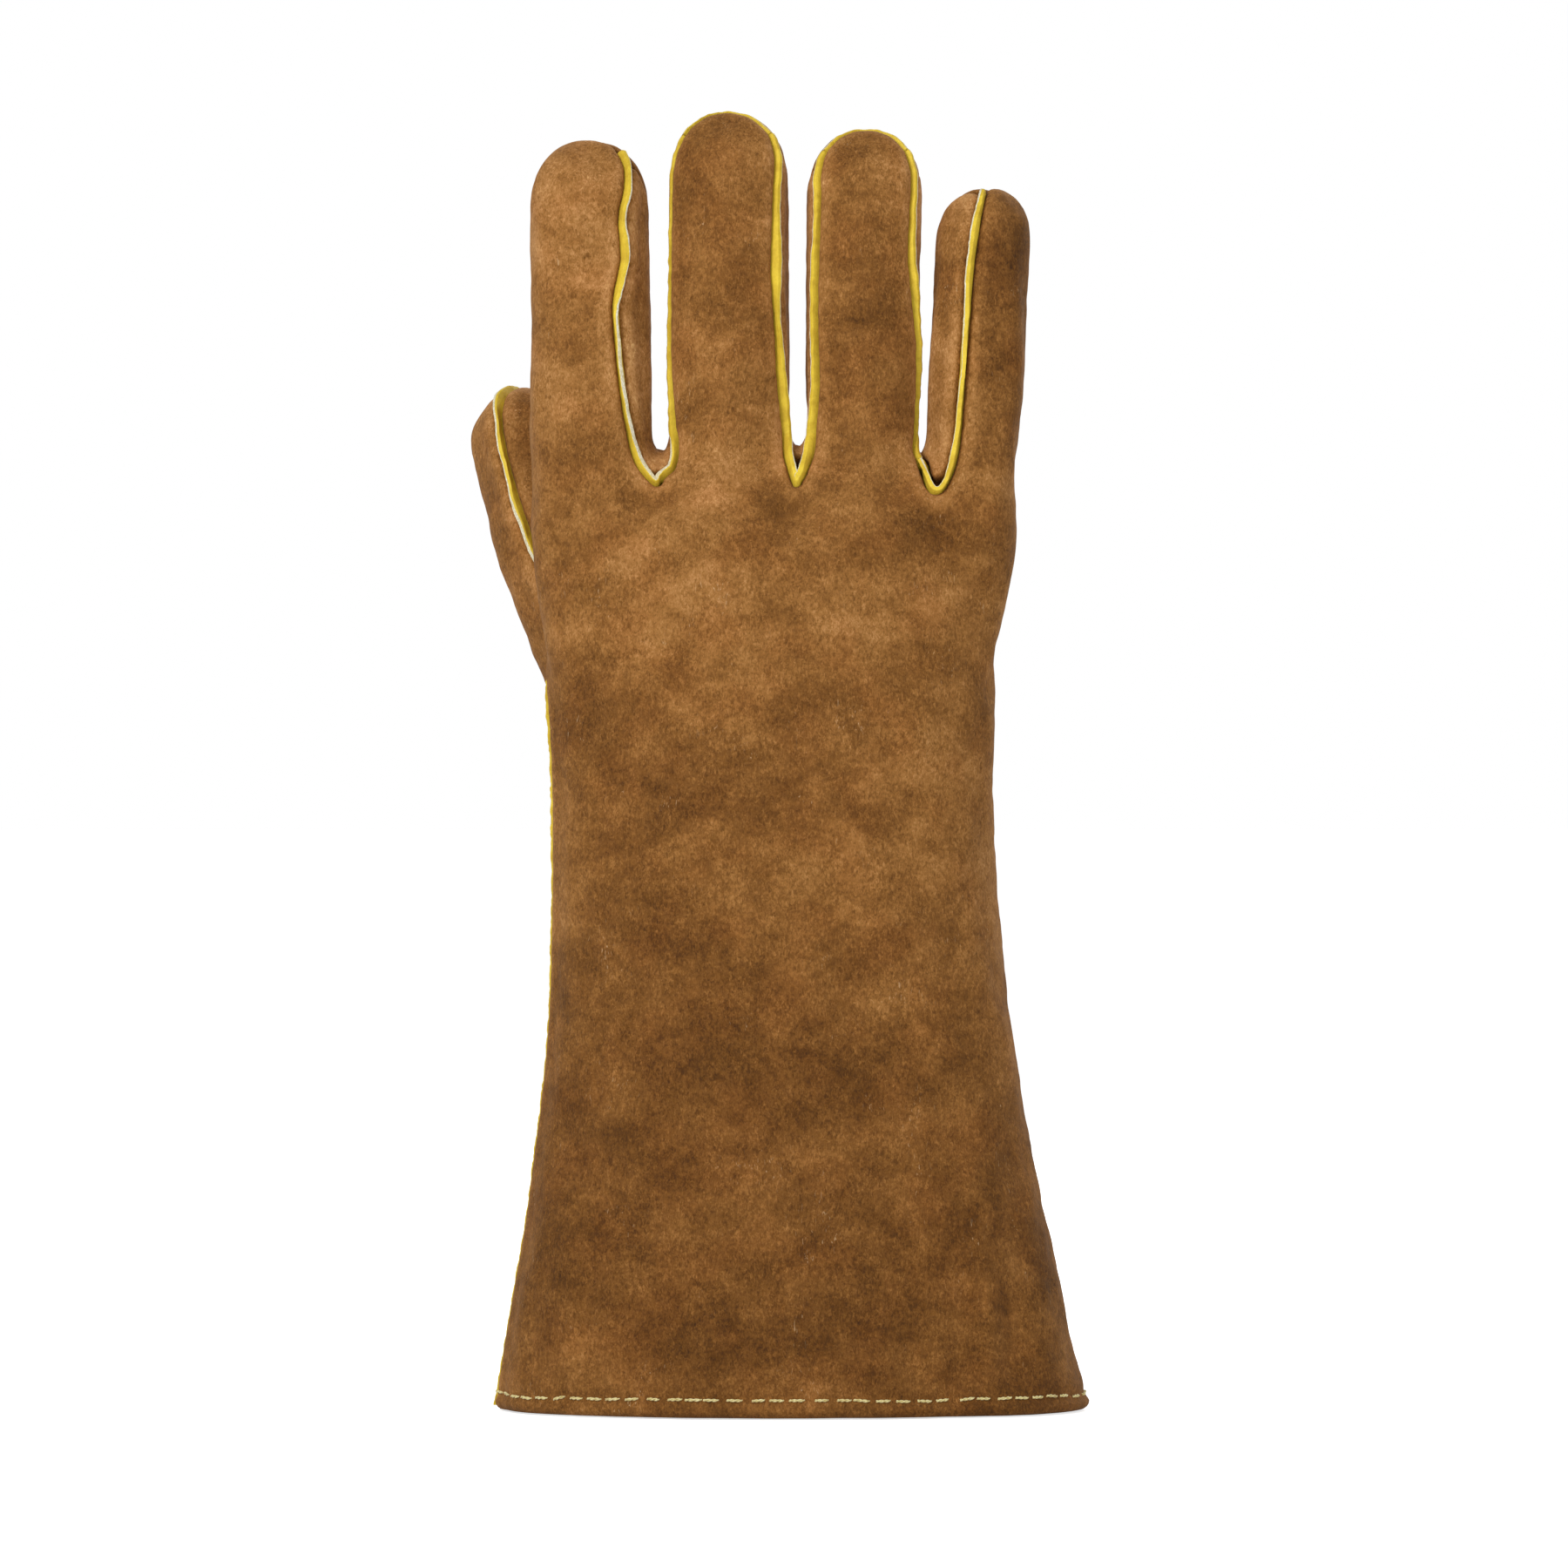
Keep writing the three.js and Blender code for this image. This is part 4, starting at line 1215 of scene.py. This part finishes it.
def stitch_row(line, normal, seed):
    """Stitches of two twisted strands along a closed line, with their ends in the leather."""
    run = np.arange(len(line)) * SEAM_STEP
    length = len(line) * SEAM_STEP
    count = round(length / STITCH_PITCH)
    random = np.random.default_rng(seed)
    sheets = []
    for k in range(count):
        start = (k + 0.08 * random.normal()) * length / count
        size = STITCH_LENGTH * (1 + 0.08 * random.normal())
        share = np.linspace(0, 1, STRAND_STEPS)
        at = (start + share * size) % length
        spot = np.stack([np.interp(at, run, line[:, j], period=length) for j in range(3)], -1)
        out = np.stack([np.interp(at, run, normal[:, j], period=length) for j in range(3)], -1)
        out /= np.linalg.norm(out, axis=1, keepdims=True)
        ahead = np.gradient(spot, axis=0)
        ahead /= np.linalg.norm(ahead, axis=1, keepdims=True)
        side = np.cross(ahead, out)
        tilt = 0.35 * random.normal()
        lift = 0.3 - 0.95 * np.abs(2 * share - 1) ** 5
        middle = spot + out * lift[:, None] + side * (tilt * (share - 0.5))[:, None]
        for phase in (0, math.pi):
            twist = phase + share * TAU * 1.6
            offset = side * np.cos(twist)[:, None] + out * 0.8 * np.sin(twist)[:, None]
            sheets.append(tube(middle + 0.2 * offset, THREAD))
    return joined(sheets)


def hem_line(seams):
    """The leather's surface all round at the stitches' height, slightly wavering, and its normals."""
    turn = np.linspace(0, 360, 500, endpoint=False)
    at = np.stack([40 * np.cos(np.radians(turn)), 40 * np.sin(np.radians(turn)), 0 * turn], -1)
    waver = 0.28 * ripples(at, 17, 51)
    ring = np.array([trunk_point(HEM_STITCH_HEIGHT + w, angle) for w, angle in zip(waver, turn)])
    ring = onto_skin(even_line(ring, closed=True))
    smooth = slope(ring)
    away, _, along = seams.near(ring)
    return ring + smooth * relief(ring, smooth, away, along)[:, None], smooth


def hem_stitches(seams):
    line, normal = hem_line(seams)
    outer = stitch_row(line, normal, 61)
    inner = stitch_row(line - normal * (2 * HEM_RADIUS), -normal, 62)
    return joined([outer, inner])


# ---- Materials ----


def linear(red, green, blue):
    """A colour given as 8-bit sRGB, as Blender's linear numbers."""
    shares = [c / 255 for c in (red, green, blue)]
    return (*(s / 12.92 if s <= 0.04045 else ((s + 0.055) / 1.055) ** 2.4 for s in shares), 1)


class Looks:
    """A new material's nodes, with short ways of adding the kinds used here."""

    def __init__(self, name):
        self.material = bpy.data.materials.new(name)
        self.material.use_nodes = True
        self.tree = self.material.node_tree
        self.shader = self.tree.nodes["Principled BSDF"]
        self.rest = self.attribute("rest", "Vector")

    def feed(self, socket, value):
        if isinstance(value, bpy.types.NodeSocket):
            self.tree.links.new(value, socket)
        else:
            socket.default_value = value

    def add(self, kind, inputs=(), **settings):
        node = self.tree.nodes.new(kind)
        for name, value in settings.items():
            setattr(node, name, value)
        for name, value in dict(inputs).items():
            self.feed(node.inputs[name], value)
        return node

    def attribute(self, name, output="Fac"):
        return self.add("ShaderNodeAttribute", attribute_name=name).outputs[output]

    def stretched(self, stretch, turn=(0, 0, 0)):
        inputs = {"Vector": self.rest, "Scale": stretch, "Rotation": turn}
        return self.add("ShaderNodeMapping", inputs).outputs[0]

    def noise(self, scale, detail=2.0, stretch=(1, 1, 1), turn=(0, 0, 0), **settings):
        inputs = {"Vector": self.stretched(stretch, turn), "Scale": scale, "Detail": detail}
        inputs.update({"Distortion": 0.0, "Roughness": 0.5})
        inputs.update({name.capitalize(): value for name, value in settings.items()})
        return self.add("ShaderNodeTexNoise", inputs).outputs[0]

    def math(self, operation, a, b=0.0):
        inputs = {0: a, 1: b}
        return self.add("ShaderNodeMath", inputs, operation=operation).outputs[0]

    def scaled(self, value, low, high, to_low, to_high, smooth=True):
        kind = "SMOOTHSTEP" if smooth else "LINEAR"
        inputs = {"Value": value, "From Min": low, "From Max": high}
        inputs.update({"To Min": to_low, "To Max": to_high})
        return self.add("ShaderNodeMapRange", inputs, interpolation_type=kind).outputs[0]

    def total(self, *values):
        result = values[0]
        for value in values[1:]:
            result = self.math("ADD", result, value)
        return result

    def ramp(self, value, stops):
        node = self.add("ShaderNodeValToRGB", {0: value})
        elements = node.color_ramp.elements
        for i, (place, colour) in enumerate(stops):
            element = elements[i] if i < 2 else elements.new(place)
            element.position = place
            element.color = colour
        return node.outputs[0]

    def mix(self, share, a, b, blend="MIX"):
        node = self.add("ShaderNodeMix", data_type="RGBA", blend_type=blend)
        for socket, value in ((0, share), (6, a), (7, b)):  # the sockets of a mix of colours
            self.feed(node.inputs[socket], value)
        return node.outputs[2]

    def bump(self, height, distance, strength=1.0, under=None):
        inputs = {"Height": height, "Distance": distance, "Strength": strength}
        node = self.add("ShaderNodeBump", inputs)
        if under is not None:
            self.feed(node.inputs["Normal"], under)
        return node.outputs[0]

    def finish(self, colour, roughness, normal, **inputs):
        self.feed(self.shader.inputs["Base Color"], colour)
        self.feed(self.shader.inputs["Roughness"], roughness)
        self.feed(self.shader.inputs["Normal"], normal)
        for name, value in inputs.items():
            self.feed(self.shader.inputs[name.replace("_", " ")], value)
        return self.material


SUEDE_STOPS = [
    (0.0, linear(58, 34, 12)),
    (0.25, linear(93, 58, 19)),
    (0.45, linear(123, 81, 35)),
    (0.62, linear(151, 105, 53)),
    (0.8, linear(179, 130, 78)),
    (1.0, linear(206, 162, 104)),
]


def nap(look):
    """Short suede fibres lying one way in some patches and another way in others."""
    down = look.noise(1700, 3.0, stretch=(1, 1, 0.5), turn=(0.0, 0.2, 0.0), distortion=1.2)
    aslant = look.noise(1700, 3.0, stretch=(1, 1, 0.5), turn=(0.0, 1.2, 0.0), distortion=1.2)
    which = look.scaled(look.noise(90, 3.0), 0.44, 0.56, 0.0, 1.0)
    return look.mix(which, down, aslant)


def suede(name, shade=0.0):
    """Brushed split leather: mottled, with a painted highlight on the rolled edges and painted shade
    down in the seams.
    """
    look = Looks(name)
    fibres = nap(look)
    grain = look.noise(820, 4.0, roughness=0.65)
    patches = look.noise(62, 6.0, stretch=(1, 1, 1.35), distortion=0.7, roughness=0.66)
    blotches = look.noise(210, 4.0, distortion=0.6, roughness=0.6)
    away = look.attribute("away")
    # Painted highlight: a mask of the rolled edges and the ridges beside the seams.
    rising, falling = look.scaled(away, 0.6, 1.9, 0, 1), look.scaled(away, 2.4, 6.0, 1, 0)
    ridge_highlight = look.math("MULTIPLY", rising, falling)
    parts = [
        look.attribute("tone"),
        look.scaled(fibres, 0.25, 0.75, -0.2, 0.2, smooth=False),
        look.scaled(grain, 0.25, 0.75, -0.12, 0.12, smooth=False),
        look.scaled(patches, 0.25, 0.75, -0.14, 0.14, smooth=False),
        look.scaled(blotches, 0.25, 0.75, -0.09, 0.09, smooth=False),
        # Painted highlight on the rolled edges and the ridges beside the seams.
        look.math("MULTIPLY", ridge_highlight, 0.13),
        # Painted shade: darker down in the seams, where the rolled edges turn under.
        look.scaled(away, -0.2, 1.5, -0.34, 0.0),
        shade,
    ]
    tone = look.total(*parts)
    colour = look.ramp(tone, SUEDE_STOPS)
    warm = look.scaled(look.noise(75, 3.0), 0.4, 0.7, 0.02, 0.08)
    colour = look.mix(warm, colour, linear(205, 128, 74), "OVERLAY")
    hairs = look.noise(1100, 1.0, stretch=(1, 1, 0.22), turn=(0.3, 0.9, 0.2), distortion=2.2)
    where = look.scaled(look.noise(60, 2.0, distortion=0.5), 0.55, 0.68, 0.0, 0.45)
    stray = look.math("MULTIPLY", look.scaled(hairs, 0.675, 0.74, 0, 1), where)
    colour = look.mix(stray, colour, linear(214, 178, 132))
    height = look.total(look.math("MULTIPLY", fibres, 0.7), look.math("MULTIPLY", grain, 0.6))
    under = look.bump(patches, 0.0011, 0.45)
    normal = look.bump(height, 0.00055, 0.62, under)
    roughness = look.scaled(grain, 0.3, 0.7, 0.82, 0.98)
    sheen = {"Sheen_Weight": 0.22, "Sheen_Roughness": 0.45, "Sheen_Tint": linear(226, 178, 130)}
    return look.finish(colour, roughness, normal, Specular_IOR_Level=0.18, **sheen)


def dyed_leather(name, colour, dark, strength):
    """Thin dyed leather: slightly uneven colour, and a fine tight grain."""
    look = Looks(name)
    grain = look.noise(1900, 3.0)
    uneven = look.noise(240, 4.0, distortion=0.5)
    stains = look.scaled(uneven, 0.3, 0.75, 0.0, strength)
    shaded = look.mix(stains, colour, dark)
    specks = look.scaled(grain, 0.3, 0.75, 0.16, 0.0)
    shaded = look.mix(specks, shaded, dark, "MULTIPLY")
    normal = look.bump(look.total(grain, uneven), 0.00016, 0.7)
    roughness = look.scaled(uneven, 0.3, 0.7, 0.6, 0.78)
    return look.finish(shaded, roughness, normal, Specular_IOR_Level=0.3)


def raw_edge(name):
    """The cut edge of the welt: undyed, fibrous and a little fluffy."""
    look = Looks(name)
    fibre = look.noise(2600, 3.0, stretch=(1, 1, 0.5), distortion=0.8)
    soil = look.noise(150, 4.0)
    bleached = look.scaled(fibre, 0.35, 0.7, 0.0, 1.0)
    colour = look.mix(bleached, linear(206, 196, 158), linear(240, 236, 218))
    colour = look.mix(look.scaled(soil, 0.45, 0.75, 0.0, 0.35), colour, linear(198, 172, 92))
    normal = look.bump(fibre, 0.0003, 0.8)
    return look.finish(colour, 0.95, normal, Specular_IOR_Level=0.1, Sheen_Weight=0.15)


def fleece(name):
    """The brushed cotton lining: a plain weave under a soft raised surface."""
    look = Looks(name)
    waves = {"Vector": look.rest, "Scale": 420.0, "Distortion": 1.2}
    warp, weft = (look.add("ShaderNodeTexWave", waves, bands_direction=way) for way in "XZ")
    weave = look.math("MULTIPLY", warp.outputs["Fac"], weft.outputs["Fac"])
    fluff = look.noise(1500, 4.0, distortion=0.7)
    shade = look.noise(70, 4.0)
    raised = look.scaled(fluff, 0.3, 0.7, 0, 1)
    colour = look.mix(raised, linear(196, 188, 168), linear(232, 227, 212))
    colour = look.mix(look.scaled(shade, 0.4, 0.75, 0, 0.3), colour, linear(176, 160, 130))
    normal = look.bump(look.total(weave, fluff), 0.0005, 0.6)
    return look.finish(colour, 0.97, normal, Specular_IOR_Level=0.1, Sheen_Weight=0.3)


def cotton_thread(name):
    look = Looks(name)
    fibre = look.noise(3600, 2.0, stretch=(0.5, 0.5, 1))
    worn = look.noise(190, 2.0)
    lit = look.scaled(fibre, 0.3, 0.7, 0, 1)
    colour = look.mix(lit, linear(196, 176, 104), linear(236, 226, 172))
    colour = look.mix(look.scaled(worn, 0.5, 0.72, 0, 0.4), colour, linear(168, 138, 84))
    normal = look.bump(fibre, 0.0001, 0.6)
    return look.finish(colour, 0.8, normal, Specular_IOR_Level=0.25, Sheen_Weight=0.2)


MATERIALS = {
    "back_leather": [suede("back_suede")],
    "palm_leather": [suede("palm_suede", -0.03)],
    "fourchette_leather": [suede("fourchette_suede", 0.1)],
    "welt_leather": [
        dyed_leather("yellow_welt", linear(234, 205, 62), linear(190, 152, 36), 0.6),
        raw_edge("welt_edge"),
    ],
    "lining_cloth": [fleece("cotton_lining")],
    "thread": [cotton_thread("hem_thread")],
}


# Light and dark patches. In each row: across and up, its width and height, all as shares of the
# glove's half width and its height, and the change of tone
PATCHES = [
    # fingertips and fingers
    (-0.13, 0.965, 0.13, 0.030, 0.20),
    (0.20, 0.935, 0.07, 0.040, -0.08),
    (0.38, 0.865, 0.05, 0.030, 0.09),
    (-0.81, 0.905, 0.06, 0.070, 0.06),
    (-0.22, 0.870, 0.12, 0.034, -0.05),
    (0.28, 0.815, 0.09, 0.060, -0.03),
    (-0.64, 0.775, 0.08, 0.025, -0.09),
    # knuckles and hand
    (-0.56, 0.740, 0.09, 0.040, -0.03),
    (0.17, 0.730, 0.07, 0.030, -0.08),
    (0.62, 0.720, 0.12, 0.022, -0.09),
    (0.53, 0.650, 0.12, 0.040, -0.04),
    (-0.68, 0.630, 0.14, 0.040, -0.10),
    (0.45, 0.615, 0.14, 0.025, -0.07),
    (-0.61, 0.550, 0.06, 0.060, -0.04),
    (-0.37, 0.510, 0.12, 0.025, -0.08),
    (0.45, 0.485, 0.20, 0.035, 0.11),
    (0.22, 0.445, 0.16, 0.055, 0.05),
    (-0.08, 0.450, 0.16, 0.035, -0.02),
    # cuff
    (-0.27, 0.330, 0.16, 0.035, -0.10),
    (0.34, 0.315, 0.12, 0.060, 0.11),
    (-0.65, 0.277, 0.14, 0.045, 0.05),
    (-0.30, 0.205, 0.25, 0.020, -0.09),
    (-0.06, 0.217, 0.10, 0.022, -0.03),
    (-0.80, 0.180, 0.10, 0.060, -0.08),
    (-0.34, 0.150, 0.15, 0.022, 0.05),
    (0.09, 0.115, 0.14, 0.030, -0.10),
    (-0.40, 0.025, 0.50, 0.022, 0.10),
    (0.76, 0.035, 0.08, 0.034, -0.06),
]


# Broader areas, in millimetres: x and half width, z and half height, and the change of tone
AREAS = [
    (-22, 44, 226, 26, 0.14),
    (-22, 30, 222, 14, 0.04),
    (0, math.inf, 192, 14, -0.05),
    (0, math.inf, 153, 14, 0.02),
    (0, math.inf, 92, 24, -0.03),
    (-20, 16, 94, 12, -0.05),
]


def tone_at(p):
    """How light the leather is at rest, 0 dark and 1 light: lighter upwards and in some listed areas
    and patches, darker in others, with painted fold shading low on the little-finger side and painted
    shade and highlights round the crotches.
    """
    x, _, z = p.T
    tone = 0.385 + 0.10 * smoothstep(z, 60, 250)
    tone += 0.13 * smoothstep(-x, 42, 52) * smoothstep(z, 245, 285)  # the index finger
    tone -= 0.07 * smoothstep(x, 48, 58) * smoothstep(z, 240, 280)  # the little finger
    tone -= 0.03 * smoothstep(-z, -60, 10)  # the foot of the cuff
    tone += 0.08 * smoothstep(x, 30, 52) * bump(z - 140, 60)  # the outer side of the wrist
    for at, wide, height, tall, change in AREAS:
        tone += change * bump(x - at, wide) * bump(z - height, tall)
    # Painted shading of soft vertical folds low on the little-finger side: light and dark stripes.
    painted_fold_shading = ripples(p, 10, 73, stretch=(1, 1, 6), waves=16)
    tone += 0.05 * painted_fold_shading * smoothstep(x, 30, 56) * bump(z - 34, 46)
    for k, (aside, drop) in enumerate(VEE):
        middle = gap_x(k, TRUNK.top) + aside
        # Painted shade in the dimple under each crotch.
        tone -= 0.11 * bump(x - middle + 4, 8) * bump(z - (TRUNK.top - drop - 8), 8)
        # Painted highlight on the knuckle's bulge beside it.
        tone += 0.08 * bump(x - middle - 15, 9) * bump(z - (TRUNK.top - 4), 18)
    across, up = x / (CAD_BOX[1][0] / MM), z / (CAD_BOX[1][2] / MM)
    for at, height, wide, tall, change in PATCHES:
        tone += change * bump(across - at, wide) * bump(up - height, tall)
    tone += 0.055 * ripples(p, 44, 71, stretch=(1.6, 1, 0.8), waves=16)
    return tone + 0.035 * ripples(p, 17, 72, stretch=(1.2, 1, 0.8), waves=20)


# ---- Objects ----


def build(name, sheet, slot, replaced=()):
    """Makes a mesh object from a sheet, in place of the CAD nodes that it replaces."""
    mesh = bpy.data.meshes.new(name)
    count = len(sheet.triangles)
    mesh.vertices.add(len(sheet.points))
    mesh.vertices.foreach_set("co", (sheet.points * MM).ravel())
    mesh.loops.add(count * 3)
    mesh.loops.foreach_set("vertex_index", sheet.triangles.ravel().astype(np.int32))
    mesh.polygons.add(count)
    mesh.polygons.foreach_set("loop_start", np.arange(count, dtype=np.int32) * 3)
    mesh.polygons.foreach_set("material_index", sheet.tags.astype(np.int32))
    mesh.update(calc_edges=True)
    mesh.normals_split_custom_set_from_vertices(sheet.values["normal"].tolist())
    rest = mesh.attributes.new("rest", "FLOAT_VECTOR", "POINT")
    rest.data.foreach_set("vector", (sheet.points * MM).ravel())
    for key, value in (("away", sheet.values["away"]), ("tone", tone_at(sheet.points))):
        mesh.attributes.new(key, "FLOAT", "POINT").data.foreach_set("value", value)
    for material in MATERIALS[slot]:
        mesh.materials.append(material)
    piece = bpy.data.objects.new(name, mesh)
    bpy.context.scene.collection.objects.link(piece)
    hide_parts(*replaced)
    return piece


def place(piece, where):
    """Parents a piece of the hand or cuff to that body's empty; every other piece only has its
    transform baked in.
    """
    if where == "trunk":
        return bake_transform(piece)
    if where in ("hand", "cuff"):
        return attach(piece, where)
    name, part = where
    if name == "thumb":
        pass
    elif part == "base":
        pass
    else:
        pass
    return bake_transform(piece)


def nodes_like(*names):
    return [name for name in names if name in frame["nodes"]]


def piece_side(finger, k):
    """The side of a finger that faces the gap after finger k."""
    return "right" if finger == FINGERS[k] else "left"


def make_panels(panels):
    for face in ("back", "palm"):
        slot = f"{face}_leather"
        for where, part in by_finger(panels[face]).items():
            if where == "hand":
                replaced = [f"cuff_{slot}", f"hand_{slot}"]
                if face == "palm":
                    replaced.append("cuff_hem_fold")
                    ring = seam_lines["thumb_ring"][0]
                    strip = backing(np.vstack([ring, ring[:2]]), RING_BACKING_HALF)
                    part = joined([part, strip])
                place(build(f"hand_and_cuff_{face}_panel", part, slot, replaced), "trunk")
            else:
                name = "_".join(where) + f"_{face}"
                place(build(f"{name}_panel", part, slot, [f"{name}_leather"]), where)
    for k in range(3):
        for where, part in by_finger(panels[f"fourchette_{k}"]).items():
            if where == "hand":
                lines = (seam_lines[f"{face}_gap_{k}"][0] for face in ("back", "palm"))
                strips = [by_finger(backing(line, BACKING_HALF))["hand"] for line in lines]
                name = f"{FINGERS[k]}_{FINGERS[k + 1]}_crotch_panel"
                piece = build(name, joined([part, *strips]), "fourchette_leather")
            else:
                name = "_".join([*where, piece_side(where[0], k), "fourchette"])
                piece = build(f"{name}_panel", part, "fourchette_leather", nodes_like(name))
            place(piece, where)
    for face in ("outer", "inner"):
        for where, part in by_thumb(panels[f"thumb_{face}"]).items():
            name = f"{'_'.join(where)}_{face}"
            slot = "back_leather" if face == "outer" else "palm_leather"
            place(build(f"{name}_panel", part, slot, [f"{name}_leather"]), where)


def make_welts(seams):
    tips = {name: [] for name in FINGERS}
    for k in range(3):
        line, sinks = seam_lines[f"back_gap_{k}"][0], (k == 0, k == 2)
        strip = welt(line, k, seams, GAP_RISES[k], sinks, RAW_EDGES[k])
        for where, part in by_finger(strip).items():
            if where == "hand":
                name = f"{FINGERS[k]}_{FINGERS[k + 1]}_crotch_welt"
                place(build(name, part, "welt_leather"), where)
            elif where[1] == "base":
                name = f"{where[0]}_base_{piece_side(where[0], k)}_welt"
                place(build(f"{name}_strip", part, "welt_leather", nodes_like(name)), where)
            else:
                tips[where[0]].append(part)
    for k, name in enumerate(("middle", "ring")):
        line = seam_lines[f"{name}_tip"][0]
        tips[name].append(welt(line, 5 + k, seams, TIP_RISES, (False, False)))
    for name, parts in tips.items():
        node = f"{name}_tip_welt"
        piece = build(f"{node}_strip", joined(parts), "welt_leather", nodes_like(node))
        place(piece, (name, "tip"))
    side = welt(seam_lines["cuff_thumb_side"][0], 9, seams, SIDE_RISES)
    side = cut_at(side, side.points[:, 2] - 1.0)[1]
    replaced = ["cuff_thumb_side_welt", "hand_thumb_side_welt"]
    place(build("cuff_thumb_side_welt_strip", side, "welt_leather", replaced), "trunk")
    line = seam_lines["thumb_front"][0][::-1]
    thumb_strip = welt(line, 12, seams, THUMB_RISES, raw=THUMB_RAW_EDGE)
    for where, part in by_thumb(thumb_strip).items():
        name = f"{'_'.join(where)}_welt"
        place(build(f"{name}_strip", part, "welt_leather", [name]), where)


def make_linings():
    body, thumb = linings()
    for where, part in by_finger(body).items():
        if where == "hand":
            replaced = ["cuff_lining", "hand_lining"]
            place(build("hand_and_cuff_lining_cloth", part, "lining_cloth", replaced), "trunk")
        else:
            name = "_".join(where)
            replaced = nodes_like(f"{where[0]}_lining") if where[1] == "base" else []
            place(build(f"{name}_lining_cloth", part, "lining_cloth", replaced), where)
    for where, part in by_thumb(thumb).items():
        replaced = ["thumb_lining"] if where[1] == "base" else []
        place(build(f"{'_'.join(where)}_lining_cloth", part, "lining_cloth", replaced), where)


# ---- Studio ----

VIEW_MARGIN = 0.827  # the share of the picture's height that the glove takes
LENS = 200.0
SENSOR = 36.0
VIEW_ASIDE = -0.0002
VIEW_HEIGHT = 0.479  # height of the camera, as a share of the glove's
FLOOR_SIDE = 30.0  # half the floor's width, in metres
FLOOR_HEIGHT = -0.0004
AMBIENT = 0.4
FLOOR_GLOW = 0.7
# Each lamp: where it is, in metres, its size and its power
LAMPS = {
    "key": ((-0.85, -1.15, 1.15), 0.8, 17),
    "fill": ((1.1, -1.1, 0.45), 1.2, 4),
    "front": ((0.0, -1.7, 0.25), 0.9, 2.5),
    "back": ((0.5, 1.3, 1.0), 1.2, 11),
}


def lamp(name, place_at, look_at, size, power):
    data = bpy.data.lights.new(name, "AREA")
    data.shape = "DISK"
    data.size = size
    data.energy = power
    obj = bpy.data.objects.new(name, data)
    obj.location = place_at
    obj.rotation_euler = (Vector(look_at) - Vector(place_at)).to_track_quat("-Z", "Y").to_euler()
    bpy.context.scene.collection.objects.link(obj)


def studio():
    low, high = (np.array(corner) for corner in CAD_BOX)
    height = high[2] - low[2]
    middle = (low + high) / 2
    camera = bpy.data.objects.new("camera", bpy.data.cameras.new("camera"))
    camera.data.lens = LENS
    camera.data.sensor_width = SENSOR
    distance = height / VIEW_MARGIN * LENS / SENSOR
    camera.location = (VIEW_ASIDE, middle[1] - distance, low[2] + height * VIEW_HEIGHT)
    camera.rotation_euler = (math.pi / 2, 0, 0)
    bpy.context.scene.collection.objects.link(camera)
    bpy.context.scene.camera = camera
    mesh = bpy.data.meshes.new("floor")
    corners = [(-1, -1), (1, -1), (1, 1), (-1, 1)]
    corners = [(FLOOR_SIDE * x, FLOOR_SIDE * y, FLOOR_HEIGHT) for x, y in corners]
    mesh.from_pydata(corners, [], [(0, 1, 2, 3)])
    floor = bpy.data.objects.new("floor", mesh)
    bpy.context.scene.collection.objects.link(floor)
    paper = Looks("pale_paper")
    seen = paper.add("ShaderNodeLightPath").outputs["Is Camera Ray"]
    glow = paper.math("MULTIPLY", seen, FLOOR_GLOW)
    normal = paper.bump(paper.noise(900), 0.0001, 0.1)
    lit = {"Emission_Color": (1, 1, 1, 1), "Emission_Strength": glow}
    paper.finish(linear(244, 244, 243), 0.9, normal, **lit)
    mesh.materials.append(paper.material)
    world = bpy.data.worlds.new("soft_studio")
    bpy.context.scene.world = world
    world.use_nodes = True
    nodes, links = world.node_tree.nodes, world.node_tree.links
    path = nodes.new("ShaderNodeLightPath")
    seen = nodes.new("ShaderNodeMapRange")
    seen.inputs["To Min"].default_value = AMBIENT
    seen.inputs["To Max"].default_value = 1.0
    links.new(path.outputs["Is Camera Ray"], seen.inputs["Value"])
    links.new(seen.outputs[0], nodes["Background"].inputs["Strength"])
    nodes["Background"].inputs["Color"].default_value = (1, 1, 1, 1)
    for name, (place_at, size, power) in LAMPS.items():
        lamp(name, place_at, (0, 0, height * 0.5), size, power)
    bpy.context.scene.view_settings.view_transform = "Standard"


# ---- The glove ----

seam_lines = all_seams()
seams = SeamMap(seam_lines)
THUMB_ROOT = thumb_root(seam_lines["thumb_ring"][0], thumb_section())
leather = fold_hem(with_relief(bare_skin(), seams))
make_panels(cut_panels(leather))
make_welts(seams)
make_linings()
place(build("hem_stitches", hem_stitches(seams), "thread", ["cuff_hem_thread"]), "cuff")
studio()
